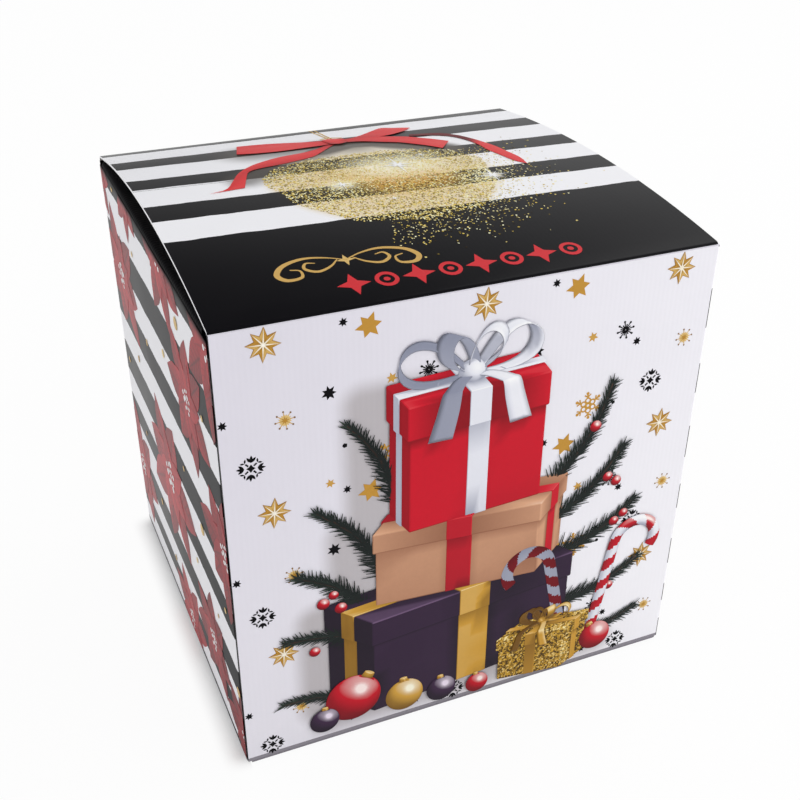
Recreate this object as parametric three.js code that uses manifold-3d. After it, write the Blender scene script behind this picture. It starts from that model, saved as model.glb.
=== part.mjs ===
// A cube-shaped advent calendar: a printed case of fine corrugated board with a hinged tuck-in lid and a
// snap-lock base, packed with two layers of gift cartons.
// Lengths are in millimetres. +Z is up, the front faces -Y, and the origin is the middle of the base.

import * as THREE from 'three';
import { mergeVertices } from 'three/addons/utils/BufferGeometryUtils.js';
import Module from 'manifold-3d';

const wasm = await Module();
wasm.setup();

// The case.
const width = 300;
const depth = 280;
const height = 300;          // to the lid's folds; the lid bulges above this
const board = 1.6;           // thickness of the corrugated board
const foldInside = 1;        // inner radius of a fold
const slip = 0.3;            // air between boards that lie on each other
const overrun = 5;           // how far a cutter runs past what it cuts

// The lid and the flaps round the mouth.
const lidRise = 12;          // how far the sprung lid bulges above its folds, at the middle of its width
const lidSkew = 3;           // the left edge bulges this much more than the middle, the right this much less
const lidInset = 0.6;        // from the walls' outer faces to the lid's raw side edges
const frontDrop = 1.2;       // from the lid's front fold down to the front wall's raw edge
const tuckDepth = 32;
const tuckInset = 5;         // from the walls' outer faces to the tuck flap's ends
const tuckCorner = 14;
const tuckClear = 1;         // kept between the tuck flap's end and the front wall while the lid rises
const tuckSlack = 0.6;       // between the tuck flap's end and the cartons
const dustLength = 96;
const dustPass = 1;          // spare room by which a dust flap's tip passes under the rising lid
const dustBackGap = 8;       // from the back wall's outer face to the dust flap's root
const dustFrontGap = 3;      // from the tuck flap's room to the dust flap's root
const dustCorner = 12;

// The glue tab, which continues the left wall behind the front wall.
const tabWidth = 30;
const tabEndGap = 15;        // from the wall's ends to the tab's ends, at the fold
const tabTaper = 9;
const rawEdgeSetback = 0.4;  // from the left wall's outer face to the front wall's raw edge

// The snap-lock base.
const climb = 16;            // run over which a flap rises by one board
const sideFlapLength = 116;
const sideFlapTaper = 12;
const frontFlapLength = 104;
const frontFlapTaper = 8;
const baseCorner = 10;
const tongueWidth = 46;
const tongueRamp = 7;
const tongueReach = 30;

// The contents: gift cartons in rows and columns, in two layers, each layer on a pad.
const columns = 4;
const rows = 3;
const layers = 2;
const packGap = 0.6;         // between neighbouring cartons
const headRoom = 1.5;        // between the top layer and the dust flaps
const cartonEdge = 0.8;      // bevel of a carton's standing edges
const capLift = 0.5;         // how far a carton's tuck-in top stands above its walls
const capInset = 0.9;
const capCorner = 2;
const thumbRadius = 9;
const thumbDepth = 0.7;
const fingerRadius = 13;     // of the notches by which a pad is lifted
const padCorner = 4;

// Each flap's crease turns by this share of the lid's turn.
const flapTurnShare = 1 / 3;

const foldFacets = 6;
const bowFacets = 20;
const cornerFacets = 4;
const notchFacets = 12;

const quarter = Math.PI / 2;
const fold = board + foldInside;     // outer radius of a fold
const pitch = board + slip;          // from one lapped board to the next
const halfWidth = width / 2;
const halfDepth = depth / 2;
const innerHalfWidth = halfWidth - board;
const innerHalfDepth = halfDepth - board;
const wallFoot = fold + slip;        // the walls start here, above the folds of the base
const lidLip = height - fold;        // the lid's folds end here
const wallTop = lidLip - slip;
const dustTop = height - pitch;      // the top face of a dust flap at its root
const lidFront = slip - innerHalfDepth;
const lidDepth = halfDepth - lidFront;

// The tuck flap's end swings out while the lid rises, so at rest the flap leans in by more than that.
const tuckSwing = (0.5 + flapTurnShare) * tuckDepth ** 2 / lidDepth;
const tuckLean = Math.asin((tuckSwing + tuckClear) / tuckDepth);
const tuckRoot = fold * Math.cos(tuckLean) + board * Math.sin(tuckLean) + slip;
const packFront = lidFront + tuckSwing + tuckClear + board + tuckSlack;

// The base's flaps lie in layers: the front one on the floor, then the sides, the back one and the tongue.
const tongueLayer = 3;
const tongueTop = frontFlapLength + board + tongueRamp;

// A dust flap tapers towards its tip, so that it stays under the lid while both turn.
const dustTaper = flapTurnShare * dustLength - dustBackGap + dustPass;

// Both dust flaps lean up under the bulging lid, as far as it leaves room at their tips' back corners.
const dustBack = halfDepth - dustBackGap;
const dustFront = packFront + dustFrontGap;
const bulgeAt = (fromHinge) => 1 - (1 - 2 * fromHinge / lidDepth) ** 2;
const dustLift = (lidRise - lidSkew) * bulgeAt(dustBackGap + dustTaper) - slip;
const dustLean = Math.asin(dustLift / dustLength);

const printed = { color: 0xe4e2e8, roughness: 0.34, metalness: 0 };
const printedBlack = { color: 0x131317, roughness: 0.3, metalness: 0 };
const rawBoard = { color: 0xded9cf, roughness: 0.88, metalness: 0 };
const cartonFinishes = [
  { color: 0xeceaee, roughness: 0.45, metalness: 0 },
  { color: 0x17171b, roughness: 0.4, metalness: 0 },
  { color: 0xb01f2d, roughness: 0.42, metalness: 0 },
];

const calendar = new THREE.Group();

function solidOf(geometry) {
  const bare = geometry.clone();
  bare.deleteAttribute('normal');
  bare.deleteAttribute('uv');
  const merged = mergeVertices(bare);
  return new wasm.Manifold(new wasm.Mesh({
    numProp: 3,
    vertProperties: merged.attributes.position.array,
    triVerts: new Uint32Array(merged.index.array),
  }));
}

function geometryOf(solid) {
  const mesh = solid.getMesh();
  const geometry = new THREE.BufferGeometry();
  geometry.setAttribute('position', new THREE.BufferAttribute(mesh.vertProperties, mesh.numProp));
  geometry.setIndex(new THREE.BufferAttribute(mesh.triVerts, 1));
  return geometry;
}

function addPiece(parent, name, geometry, finish) {
  const mesh = new THREE.Mesh(geometry, new THREE.MeshStandardMaterial(finish));
  mesh.name = name;
  parent.add(mesh);
  return mesh;
}

// Points of an arc, both ends included.
function arc(centreX, centreY, radius, from, to, facets) {
  return Array.from({ length: facets + 1 }, (_, step) => {
    const angle = from + (to - from) * step / facets;
    return new THREE.Vector2(centreX + radius * Math.cos(angle), centreY + radius * Math.sin(angle));
  });
}

// A board seen edge on: the line of its outer face, with its thickness laid on the left of the line.
function boardSection(line) {
  const normals = line.slice(1).map((point, index) => {
    const along = point.clone().sub(line[index]).normalize();
    return new THREE.Vector2(-along.y, along.x);
  });
  const inside = line.map((point, index) => {
    const before = normals[Math.max(index - 1, 0)];
    const after = normals[Math.min(index, normals.length - 1)];
    const mitre = before.clone().add(after).normalize();
    return point.clone().addScaledVector(mitre, board / mitre.dot(after));
  });
  return new THREE.Shape([...line, ...inside.reverse()]);
}

// A closed outline whose corners, each given as x, y and a radius, are rounded.
function roundedOutline(corners) {
  const shape = new THREE.Shape();
  const point = (index) => new THREE.Vector2(...corners[(index + corners.length) % corners.length]);
  corners.forEach(([, , radius], index) => {
    const corner = point(index);
    const back = point(index - 1).sub(corner).normalize();
    const ahead = point(index + 1).sub(corner).normalize();
    const reach = radius / Math.tan(Math.acos(back.dot(ahead)) / 2);
    const start = corner.clone().addScaledVector(back, reach);
    const end = corner.clone().addScaledVector(ahead, reach);
    if (index === 0) {
      shape.moveTo(start.x, start.y);
    } else {
      shape.lineTo(start.x, start.y);
    }
    if (radius > 0) {
      shape.quadraticCurveTo(corner.x, corner.y, end.x, end.y);
    }
  });
  return shape;
}

// A section drawn in x and z, run along y and centred on it.
function runAlongY(shape, span) {
  const geometry = new THREE.ExtrudeGeometry(shape, { depth: span, bevelEnabled: false });
  return geometry.rotateX(quarter).translate(0, span / 2, 0);
}

function plate(shape, bottom, thickness) {
  const geometry = new THREE.ExtrudeGeometry(
    shape, { depth: thickness, bevelEnabled: false, curveSegments: cornerFacets });
  return geometry.translate(0, 0, bottom);
}

function block(low, high) {
  const size = high.map((value, axis) => value - low[axis]);
  const middle = high.map((value, axis) => (value + low[axis]) / 2);
  return new THREE.BoxGeometry(...size).translate(...middle);
}

// A flap in its own frame: x runs in from the wall's outer face and y along the crease.
function flapGeometry(line, outline) {
  const strip = solidOf(runAlongY(boardSection(line), width + depth));
  const cutter = solidOf(plate(outline, -height, 3 * height));
  return geometryOf(strip.intersect(cutter));
}

// The walls are one strip of board, wrapped round from the front wall's raw edge to the glue tab.
function wallsGeometry() {
  const top = height + overrun;
  const line = [
    new THREE.Vector2(rawEdgeSetback - halfWidth, -halfDepth),
    ...arc(halfWidth - fold, fold - halfDepth, fold, -quarter, 0, foldFacets),
    ...arc(halfWidth - fold, halfDepth - fold, fold, 0, quarter, foldFacets),
    ...arc(fold - halfWidth, halfDepth - fold, fold, quarter, 2 * quarter, foldFacets),
    ...arc(fold - halfWidth, lidFront + fold, fold, 2 * quarter, 3 * quarter, foldFacets),
    new THREE.Vector2(fold - halfWidth + tabWidth, lidFront),
  ];
  const strip = solidOf(plate(boardSection(line), wallFoot, height - frontDrop - wallFoot));

  // Behind the front wall the rim is lower, to seat the lid's folds and the dust flaps' roots.
  const behindFront = (lidFront - innerHalfDepth) / 2;
  const rim = block([-width, behindFront, wallTop], [width, depth, top]);
  const dustSeat = block(
    [-width, dustFront - slip, dustTop - fold - slip], [width, dustBack + slip, top]);

  // The tab stops short of the rim and the foot, at a slant.
  const tabStart = fold - halfWidth;
  const tabCutters = [1, -1].map((side) => {
    const middle = (wallTop + wallFoot) / 2;
    const root = middle + side * ((wallTop - wallFoot) / 2 - tabEndGap);
    const slope = side * tabTaper / tabWidth;
    const end = root - slope * (tabWidth + overrun);
    const past = middle + side * height;
    const outline = new THREE.Shape([
      new THREE.Vector2(tabStart, root),
      new THREE.Vector2(tabStart + tabWidth + overrun, end),
      new THREE.Vector2(tabStart + tabWidth + overrun, past),
      new THREE.Vector2(tabStart, past),
    ]);
    return runAlongY(outline, pitch).translate(0, behindFront + pitch / 2, 0);
  });
  return geometryOf([rim, dustSeat, ...tabCutters].reduce(
    (walls, cutter) => walls.subtract(solidOf(cutter)), strip));
}

// The lid bows between its two folds. Its frame is at the hinge, with x running to the front.
function lidGeometry() {
  const halfBow = 2 * Math.atan(2 * lidRise / (lidDepth - 2 * fold));
  const foldSpan = lidDepth - 2 * fold * (1 - Math.sin(halfBow));
  const radius = foldSpan / 2 / Math.sin(halfBow);
  const bowCentre = -fold + fold * Math.cos(halfBow) - radius * Math.cos(halfBow);
  const line = [
    ...arc(lidDepth - fold, -fold, fold, 0, quarter - halfBow, foldFacets),
    ...arc(lidDepth / 2, bowCentre, radius, quarter - halfBow, quarter + halfBow, bowFacets).slice(1, -1),
    ...arc(fold, -fold, fold, quarter + halfBow, 2 * quarter, foldFacets),
  ];
  const geometry = runAlongY(boardSection(line), width - 2 * lidInset);
  const places = geometry.attributes.position;
  for (let index = 0; index < places.count; index += 1) {
    const skew = lidSkew * bulgeAt(places.getX(index)) * places.getY(index) / halfWidth;
    places.setZ(index, places.getZ(index) - skew);
  }
  return geometry;
}

// The tuck flap's frame is at the lid's front fold, with x along the fold and the flap hanging down.
function tuckGeometry() {
  const halfSpan = halfWidth - tuckInset;
  const outline = roundedOutline([
    [-halfSpan, -tuckDepth, tuckCorner],
    [halfSpan, -tuckDepth, tuckCorner],
    [halfSpan, -tuckRoot, 0],
    [-halfSpan, -tuckRoot, 0],
  ]);
  return plate(outline, -board, board).rotateX(quarter);
}

function dustGeometry() {
  const line = [
    new THREE.Vector2(dustLength, 0),
    ...arc(fold, -fold, fold, quarter, 2 * quarter, foldFacets),
  ];
  const halfSpan = (dustBack - dustFront) / 2;
  const outline = roundedOutline([
    [-overrun, -halfSpan, 0],
    [fold, -halfSpan, 0],
    [dustLength, dustTaper - halfSpan, dustCorner],
    [dustLength, halfSpan - dustTaper, dustCorner],
    [fold, halfSpan, 0],
    [-overrun, halfSpan, 0],
  ]);
  return flapGeometry(line, outline);
}

// A base flap folds in at the floor and rises to its own layer; layer 0 stays on the floor.
function baseLine(layer, length) {
  const folded = arc(fold, fold, fold, 2 * quarter, 3 * quarter, foldFacets);
  const risen = new THREE.Vector2(fold + layer * climb, layer * pitch);
  const end = new THREE.Vector2(length, layer * pitch);
  return layer > 0 ? [...folded, risen, end] : [...folded, end];
}

// The side flaps are mirrored, so each takes the side of its frame that its front end lies on.
function sideFlapGeometry(frontSide) {
  const root = halfDepth - fold - slip;
  const mitred = root - climb;
  const backMitred = root - 2 * climb;
  const corners = [
    [-overrun, root, 0],
    [fold, root, 0],
    [fold + climb, mitred, 0],
    [sideFlapLength, mitred - sideFlapTaper, baseCorner],
    [sideFlapLength, sideFlapTaper - backMitred, baseCorner],
    [fold + 2 * climb, -backMitred, 0],
    [fold, -root, 0],
    [-overrun, -root, 0],
  ];
  const outline = roundedOutline(corners.map(([x, y, radius]) => [x, frontSide * y, radius]));
  return flapGeometry(baseLine(1, sideFlapLength), outline);
}

function backFlapGeometry() {
  const length = depth - tongueTop - slip;
  const root = halfWidth - fold - slip;
  const mitred = root - 2 * climb;
  const outline = roundedOutline([
    [-overrun, -root, 0],
    [fold, -root, 0],
    [fold + 2 * climb, -mitred, 0],
    [length, -mitred, baseCorner],
    [length, mitred, baseCorner],
    [fold + 2 * climb, mitred, 0],
    [fold, root, 0],
    [-overrun, root, 0],
  ]);
  return flapGeometry(baseLine(2, length), outline);
}

// The front flap ends in a tongue, which rises between the side flaps and locks on top of the back flap.
function frontFlapGeometry() {
  const tongueEnd = tongueTop + tongueReach;
  const line = [
    ...baseLine(0, tongueTop - tongueRamp),
    new THREE.Vector2(tongueTop, tongueLayer * pitch),
    new THREE.Vector2(tongueEnd, tongueLayer * pitch),
  ];
  const root = halfWidth - fold - slip;
  const mitred = root - climb;
  const half = (side) => [
    [-overrun, side * root, 0],
    [fold, side * root, 0],
    [fold + climb, side * mitred, 0],
    [frontFlapLength, side * (mitred - frontFlapTaper), baseCorner],
    [frontFlapLength, side * tongueWidth / 2, 0],
    [tongueEnd, side * tongueWidth / 2, baseCorner],
  ];
  return flapGeometry(line, roundedOutline([...half(-1), ...half(1).reverse()]));
}

// What lies between the case's walls, clear of the tuck flap.
const pack = {
  left: packGap - innerHalfWidth,
  right: innerHalfWidth - packGap,
  front: packFront,
  back: innerHalfDepth - packGap,
  bottom: (tongueLayer + 1) * pitch,
  top: height - pitch - board - headRoom,
};
const layerPitch = (pack.top - pack.bottom + slip) / layers;
const cartonSize = new THREE.Vector3(
  (pack.right - pack.left + packGap) / columns - packGap,
  (pack.back - pack.front + packGap) / rows - packGap,
  layerPitch - board - 2 * slip,
);

function padGeometry() {
  const sheet = solidOf(plate(roundedOutline([
    [pack.left, pack.front, padCorner],
    [pack.right, pack.front, padCorner],
    [pack.right, pack.back, padCorner],
    [pack.left, pack.back, padCorner],
  ]), 0, board));
  const notches = [pack.front, pack.back].map((edge) => {
    const notch = new THREE.CylinderGeometry(fingerRadius, fingerRadius, 2 * overrun, 2 * notchFacets);
    return solidOf(notch.rotateX(quarter).translate(0, edge, 0));
  });
  return geometryOf(notches.reduce((pad, notch) => pad.subtract(notch), sheet));
}

// A gift carton stands on its own base, with a tuck-in top and a thumb notch in its front wall.
function cartonGeometry() {
  const outline = (inset, corner) => {
    const x = cartonSize.x / 2 - inset;
    const y = cartonSize.y / 2 - inset;
    return roundedOutline([[-x, -y, corner], [x, -y, corner], [x, y, corner], [-x, y, corner]]);
  };
  const shoulder = cartonSize.z - capLift;
  const walls = solidOf(plate(outline(0, cartonEdge), 0, shoulder));
  const cap = solidOf(plate(outline(capInset, capCorner), shoulder - capLift, 2 * capLift));
  const thumb = new THREE.CylinderGeometry(thumbRadius, thumbRadius, 2 * thumbDepth, 2 * notchFacets);
  thumb.translate(0, -cartonSize.y / 2, shoulder);
  return geometryOf(walls.add(cap).subtract(solidOf(thumb)));
}

addPiece(calendar, 'case_walls', wallsGeometry(), printed);

const baseFlaps = [
  ['base_flap_front', frontFlapGeometry(), 0, -halfDepth, quarter],
  ['base_flap_left', sideFlapGeometry(-1), -halfWidth, 0, 0],
  ['base_flap_back', backFlapGeometry(), 0, halfDepth, -quarter],
  ['base_flap_right', sideFlapGeometry(1), halfWidth, 0, 2 * quarter],
];
for (const [name, geometry, x, y, turn] of baseFlaps) {
  const flap = addPiece(calendar, name, geometry, printed);
  flap.position.set(x, y, 0);
  flap.rotation.z = turn;
}

for (const [name, side] of [['dust_flap_left', -1], ['dust_flap_right', 1]]) {
  const flap = addPiece(calendar, name, dustGeometry(), rawBoard);
  flap.position.set(side * halfWidth, (dustFront + dustBack) / 2, dustTop);
  flap.rotation.set(0, side * dustLean, side > 0 ? 2 * quarter : 0);
}

const lid = addPiece(calendar, 'lid_panel', lidGeometry(), printedBlack);
lid.position.set(0, halfDepth, height);
lid.rotation.z = -quarter;

const tuck = addPiece(calendar, 'tuck_flap', tuckGeometry(), printedBlack);
tuck.position.set(0, lidFront, height);
tuck.rotation.x = tuckLean;

// The first half of the numbers lies in the top layer, counted from the back left.
const carton = cartonGeometry();
for (let layer = 0; layer < layers; layer += 1) {
  const floor = pack.bottom + layer * layerPitch;
  addPiece(calendar, layer === 0 ? 'base_pad' : `layer_pad_${layer}`, padGeometry(), rawBoard)
    .position.set(0, 0, floor);
  const cell = new THREE.Vector3(cartonSize.x + packGap, cartonSize.y + packGap, floor + board + slip);
  for (let row = 0; row < rows; row += 1) {
    for (let column = 0; column < columns; column += 1) {
      const number = ((layers - 1 - layer) * rows + row) * columns + column + 1;
      const name = `gift_carton_${String(number).padStart(2, '0')}`;
      const finish = cartonFinishes[(row + column + layer) % cartonFinishes.length];
      addPiece(calendar, name, carton, finish).position.set(
        pack.left + cartonSize.x / 2 + column * cell.x,
        pack.back - cartonSize.y / 2 - row * cell.y,
        cell.z,
      );
    }
  }
}

export default calendar;
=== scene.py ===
"""Dresses a beauty advent calendar: its printed case, its lid, its flaps and its gift cartons.

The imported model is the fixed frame. The print is laid on it as thin plates of ink, and the board under
it gets its own finish. Lengths are written in millimetres and turned into metres where they are used.
"""
import logging
import random
from dataclasses import dataclass
from enum import Enum
from math import atan2, cos, exp, pi, radians, sin, sqrt
from typing import Callable, Iterable, Sequence

import bmesh
import bpy
from mathutils import Matrix, Vector
from mathutils.bvhtree import BVHTree
from mathutils.kdtree import KDTree
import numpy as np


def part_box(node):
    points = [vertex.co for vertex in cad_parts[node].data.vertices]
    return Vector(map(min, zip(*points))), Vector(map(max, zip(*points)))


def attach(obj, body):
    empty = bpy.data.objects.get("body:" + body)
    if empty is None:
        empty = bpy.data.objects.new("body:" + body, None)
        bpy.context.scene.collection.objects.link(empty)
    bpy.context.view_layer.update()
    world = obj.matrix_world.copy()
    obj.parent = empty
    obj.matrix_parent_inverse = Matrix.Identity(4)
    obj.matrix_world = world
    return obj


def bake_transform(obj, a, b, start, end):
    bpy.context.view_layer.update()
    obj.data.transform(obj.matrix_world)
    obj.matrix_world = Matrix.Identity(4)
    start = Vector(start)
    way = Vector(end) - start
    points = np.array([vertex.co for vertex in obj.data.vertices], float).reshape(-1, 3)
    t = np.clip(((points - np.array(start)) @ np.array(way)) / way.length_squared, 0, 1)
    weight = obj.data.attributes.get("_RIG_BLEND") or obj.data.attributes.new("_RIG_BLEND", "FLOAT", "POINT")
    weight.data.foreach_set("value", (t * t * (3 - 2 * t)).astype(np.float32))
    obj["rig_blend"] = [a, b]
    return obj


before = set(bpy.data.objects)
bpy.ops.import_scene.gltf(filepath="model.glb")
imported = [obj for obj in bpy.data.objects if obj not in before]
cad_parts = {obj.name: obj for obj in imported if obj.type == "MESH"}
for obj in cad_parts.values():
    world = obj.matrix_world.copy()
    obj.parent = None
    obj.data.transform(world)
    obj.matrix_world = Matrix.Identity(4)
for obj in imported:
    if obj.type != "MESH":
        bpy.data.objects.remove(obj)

LOG = logging.getLogger("advent_calendar")
MM = 0.001

Point = tuple[float, float]
Colour = tuple[float, float, float, float]
Mesh = bmesh.types.BMesh
Material = bpy.types.Material
Socket = bpy.types.NodeSocket
move = Matrix.Translation


def ink(red: int, green: int, blue: int) -> Colour:
    """Turns a colour as it looks on a screen, 0 to 255, into Blender's linear one.

    Args:
        red, green, blue: The colour's shares.

    Returns:
        The linear colour, with full opacity.
    """
    shares = (channel / 255 for channel in (red, green, blue))
    linear = (s / 12.92 if s <= 0.04045 else ((s + 0.055) / 1.055) ** 2.4 for s in shares)
    return (*linear, 1.0)


PAPER = ink(247, 247, 251)
GROUND = ink(225, 222, 232)
BLACK = ink(17, 16, 20)
RAW_BOARD = ink(228, 223, 212)
# Grey painted shade, used at the case's foot and round the base folds.
FOOT_SHADE_GREY = ink(140, 136, 144)
GOLD_LIGHT = ink(248, 226, 160)
GOLD = ink(196, 146, 58)
GOLD_DARK = ink(138, 94, 26)
RED = ink(206, 32, 46)
RED_DARK = ink(112, 12, 22)
WHITE = ink(250, 250, 250)


# The case's real sizes, in millimetres, measured on the frame where it has them.
CASE_LOW, CASE_HIGH = (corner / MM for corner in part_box("case_walls"))
HALF_WIDTH = (CASE_HIGH.x - CASE_LOW.x) / 2
HALF_DEPTH = (CASE_HIGH.y - CASE_LOW.y) / 2
LID_LOW, LID_HIGH = (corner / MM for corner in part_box("lid_panel"))
BOARD = 1.6
FOLD = 2.6
HEIGHT = 300.0
SIDE_TOP = 295.2
SEAM_FRONT = -138.1
SHEET_EDGE = 149.6
SLIP = 0.3


def math_method(operation: str, swapped: bool = False) -> Callable[..., "Signal"]:
    """Returns a method of a signal that adds one Math node; swapped puts the signal last."""

    def method(self: "Signal", *others: "Number") -> "Signal":
        """Works the operation out on this number and the others."""
        return self.graph.math(operation, *((*others, self) if swapped else (self, *others)))

    return method


class Signal:
    """A number in a node tree, with arithmetic: each operator adds one Math node."""

    __add__ = math_method("ADD")
    __sub__ = math_method("SUBTRACT")
    __rsub__ = math_method("SUBTRACT", swapped=True)
    __mul__ = math_method("MULTIPLY")
    __truediv__ = math_method("DIVIDE")
    __lt__ = math_method("LESS_THAN")
    __gt__ = math_method("GREATER_THAN")
    __abs__ = math_method("ABSOLUTE")
    least = math_method("MINIMUM")
    most = math_method("MAXIMUM")
    power = math_method("POWER")
    sine = math_method("SINE")
    part_of = math_method("FLOORED_MODULO")

    def __init__(self, graph: "Graph", socket: Socket) -> None:
        """Keeps its graph and the socket that gives it."""
        self.graph = graph
        self.socket = socket

    def rise(self, low: float, high: float) -> "Signal":
        """Goes smoothly from 0 at one value to 1 at another, which may be the lesser of the two."""
        feeds = {"Value": self, "From Min": low, "From Max": high}
        node = self.graph.node("ShaderNodeMapRange", feeds, interpolation_type="SMOOTHSTEP")
        return Signal(self.graph, node.outputs["Result"])


Number = Signal | float
Tint = Socket | Colour


class Graph:
    """Builds a node tree a step at a time."""

    def __init__(self, tree: bpy.types.NodeTree) -> None:
        """Keeps the tree that the nodes go into."""
        self.tree = tree

    def node(self, kind: str, feeds: "dict[str | int, Number | Tint] | None" = None,
             **settings: object) -> bpy.types.Node:
        """Adds a node.

        Args:
            kind: Blender's name of the node's type.
            feeds: What its inputs get, by their names or numbers.
            settings: Values of the node's own properties.

        Returns:
            The node.
        """
        made = self.tree.nodes.new(kind)
        for name, value in settings.items():
            setattr(made, name, value)
        for key, value in (feeds or {}).items():
            source = value.socket if isinstance(value, Signal) else value
            if isinstance(source, Socket):
                self.tree.links.new(source, made.inputs[key])
            else:
                made.inputs[key].default_value = source
        return made

    def signals(self, node: bpy.types.Node) -> list[Signal]:
        """Returns what a node's outputs give."""
        return [Signal(self, socket) for socket in node.outputs]

    def math(self, operation: str, *terms: "Number") -> Signal:
        """Adds a Math node on one to three terms."""
        return self.signals(self.node("ShaderNodeMath", dict(enumerate(terms)), operation=operation))[0]

    def place(self) -> list[Signal]:
        """Returns the point's x, y and z on the object, in millimetres."""
        source = self.node("ShaderNodeTexCoord").outputs["Object"]
        scaled = self.node("ShaderNodeVectorMath", {0: source, "Scale": 1 / MM}, operation="SCALE")
        return self.signals(self.node("ShaderNodeSeparateXYZ", {0: scaled.outputs[0]}))

    def vector(self, *parts: "Number") -> Socket:
        """Joins three numbers into a vector."""
        return self.node("ShaderNodeCombineXYZ", dict(enumerate(parts))).outputs[0]

    def attribute(self, name: str) -> Signal:
        """Reads a number that the mesh carries under a name."""
        node = self.node("ShaderNodeAttribute", attribute_type="GEOMETRY", attribute_name=name)
        return Signal(self, node.outputs["Fac"])

    def noise(self, vector: Socket, scale: float, detail: float = 2.0) -> Signal:
        """Adds soft noise, about 0.5 on average.

        Args:
            vector: Where the noise is read, in millimetres.
            scale: Its features per millimetre.
            detail: How many finer layers it has.

        Returns:
            The noise.
        """
        feeds = {"Vector": vector, "Scale": scale, "Detail": detail}
        return self.signals(self.node("ShaderNodeTexNoise", feeds))[0]

    def mix(self, share: "Number", first: Tint, second: Tint, blend: str = "MIX") -> Socket:
        """Mixes two colours.

        Args:
            share: How much of the second there is.
            first: The colour at 0.
            second: The colour at 1.
            blend: Blender's name of the way they mix.

        Returns:
            The mixed colour.
        """
        feeds = {0: share, 6: first, 7: second}
        return self.node("ShaderNodeMix", feeds, data_type="RGBA", blend_type=blend).outputs[2]

    def ramp(self, value: "Number", stops: Sequence[tuple[float, Colour]], stepped: bool = False) -> Tint:
        """Looks a number from 0 to 1 up in a row of colours.

        Args:
            value: The number.
            stops: Each colour's place and the colour.
            stepped: Whether each colour holds until the next stop.

        Returns:
            The colour.
        """
        node = self.node("ShaderNodeValToRGB", {0: value})
        node.color_ramp.interpolation = "CONSTANT" if stepped else "LINEAR"
        elements = node.color_ramp.elements
        while len(elements) < len(stops):
            elements.new(1.0)
        for element, (position, colour) in zip(elements, stops):
            element.position = position
            element.color = colour
        return node.outputs[0]

    def shared(self, effect: "Effect", **values: "Number | Tint") -> list[Signal]:
        """Places a shared effect, feeds its inputs by name and returns its outputs."""
        feeds = {name.replace("_", " "): value for name, value in values.items()}
        return self.signals(self.node("ShaderNodeGroup", feeds, node_tree=effect.tree()))


@dataclass(frozen=True)
class Effect:
    """A node group that several finishes share.

    Attributes:
        name: The group's name.
        takes: Its inputs' names, with each one's value when it isn't fed.
        gives: Its outputs' names.
        build: Makes the outputs from the inputs.
    """

    name: str
    takes: dict[str, float]
    gives: tuple[str, ...]
    build: Callable[[Graph, dict[str, Signal]], tuple[Signal, ...]]

    def tree(self) -> bpy.types.NodeTree:
        """Returns the group, which is built the first time."""
        made = bpy.data.node_groups.get(self.name)
        if made:
            return made
        made = bpy.data.node_groups.new(self.name, "ShaderNodeTree")
        graph = Graph(made)
        for name, value in self.takes.items():
            socket = made.interface.new_socket(name, in_out="INPUT", socket_type="NodeSocketFloat")
            socket.default_value = value
        for name in self.gives:
            made.interface.new_socket(name, in_out="OUTPUT", socket_type="NodeSocketFloat")
        source = graph.node("NodeGroupInput")
        taken = {name: Signal(graph, source.outputs[name]) for name in self.takes}
        graph.node("NodeGroupOutput", dict(zip(self.gives, self.build(graph, taken))))
        return made


def _build_brush(graph: Graph, taken: dict[str, Signal]) -> tuple[Signal, ...]:
    """Shifts a stripe's edge as a dry brush does, in long waves with ragged steps."""
    along = graph.vector(taken["Along"], taken["Row"], 0.0)
    waves = graph.noise(along, 0.045, 1.0) - 0.5
    ragged = graph.noise(along, 0.35, 3.0) - 0.5
    return (waves * taken["Wave"] + ragged * taken["Ragged"],)


def _build_paper(graph: Graph, taken: dict[str, Signal]) -> tuple[Signal, ...]:
    """Makes paper's fibres and clouds, and the flutes that show through."""
    at = graph.vector(taken["X"], taken["Y"], taken["Z"])
    fibres = graph.noise(at, 1.6, 4.0) - 0.5
    clouds = graph.noise(at, 0.03, 2.0) - 0.5
    angle = taken["Across"] * (2 * pi / FLUTE_PITCH)
    flutes = angle.sine() * taken["Flute depth"]
    tint = clouds * 0.035 + fibres * 0.02 + flutes * 0.012
    return tint, fibres * 0.3 + flutes


FLUTE_PITCH = 3.2
BRUSH = Effect("brushed_edge", {"Along": 0.0, "Row": 0.0, "Wave": 2.0, "Ragged": 1.2}, ("Shift",),
               _build_brush)
PAPER_FACE = Effect("paper_face", {"X": 0.0, "Y": 0.0, "Z": 0.0, "Across": 0.0, "Flute depth": 1.0},
                    ("Tint", "Height"), _build_paper)


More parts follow.
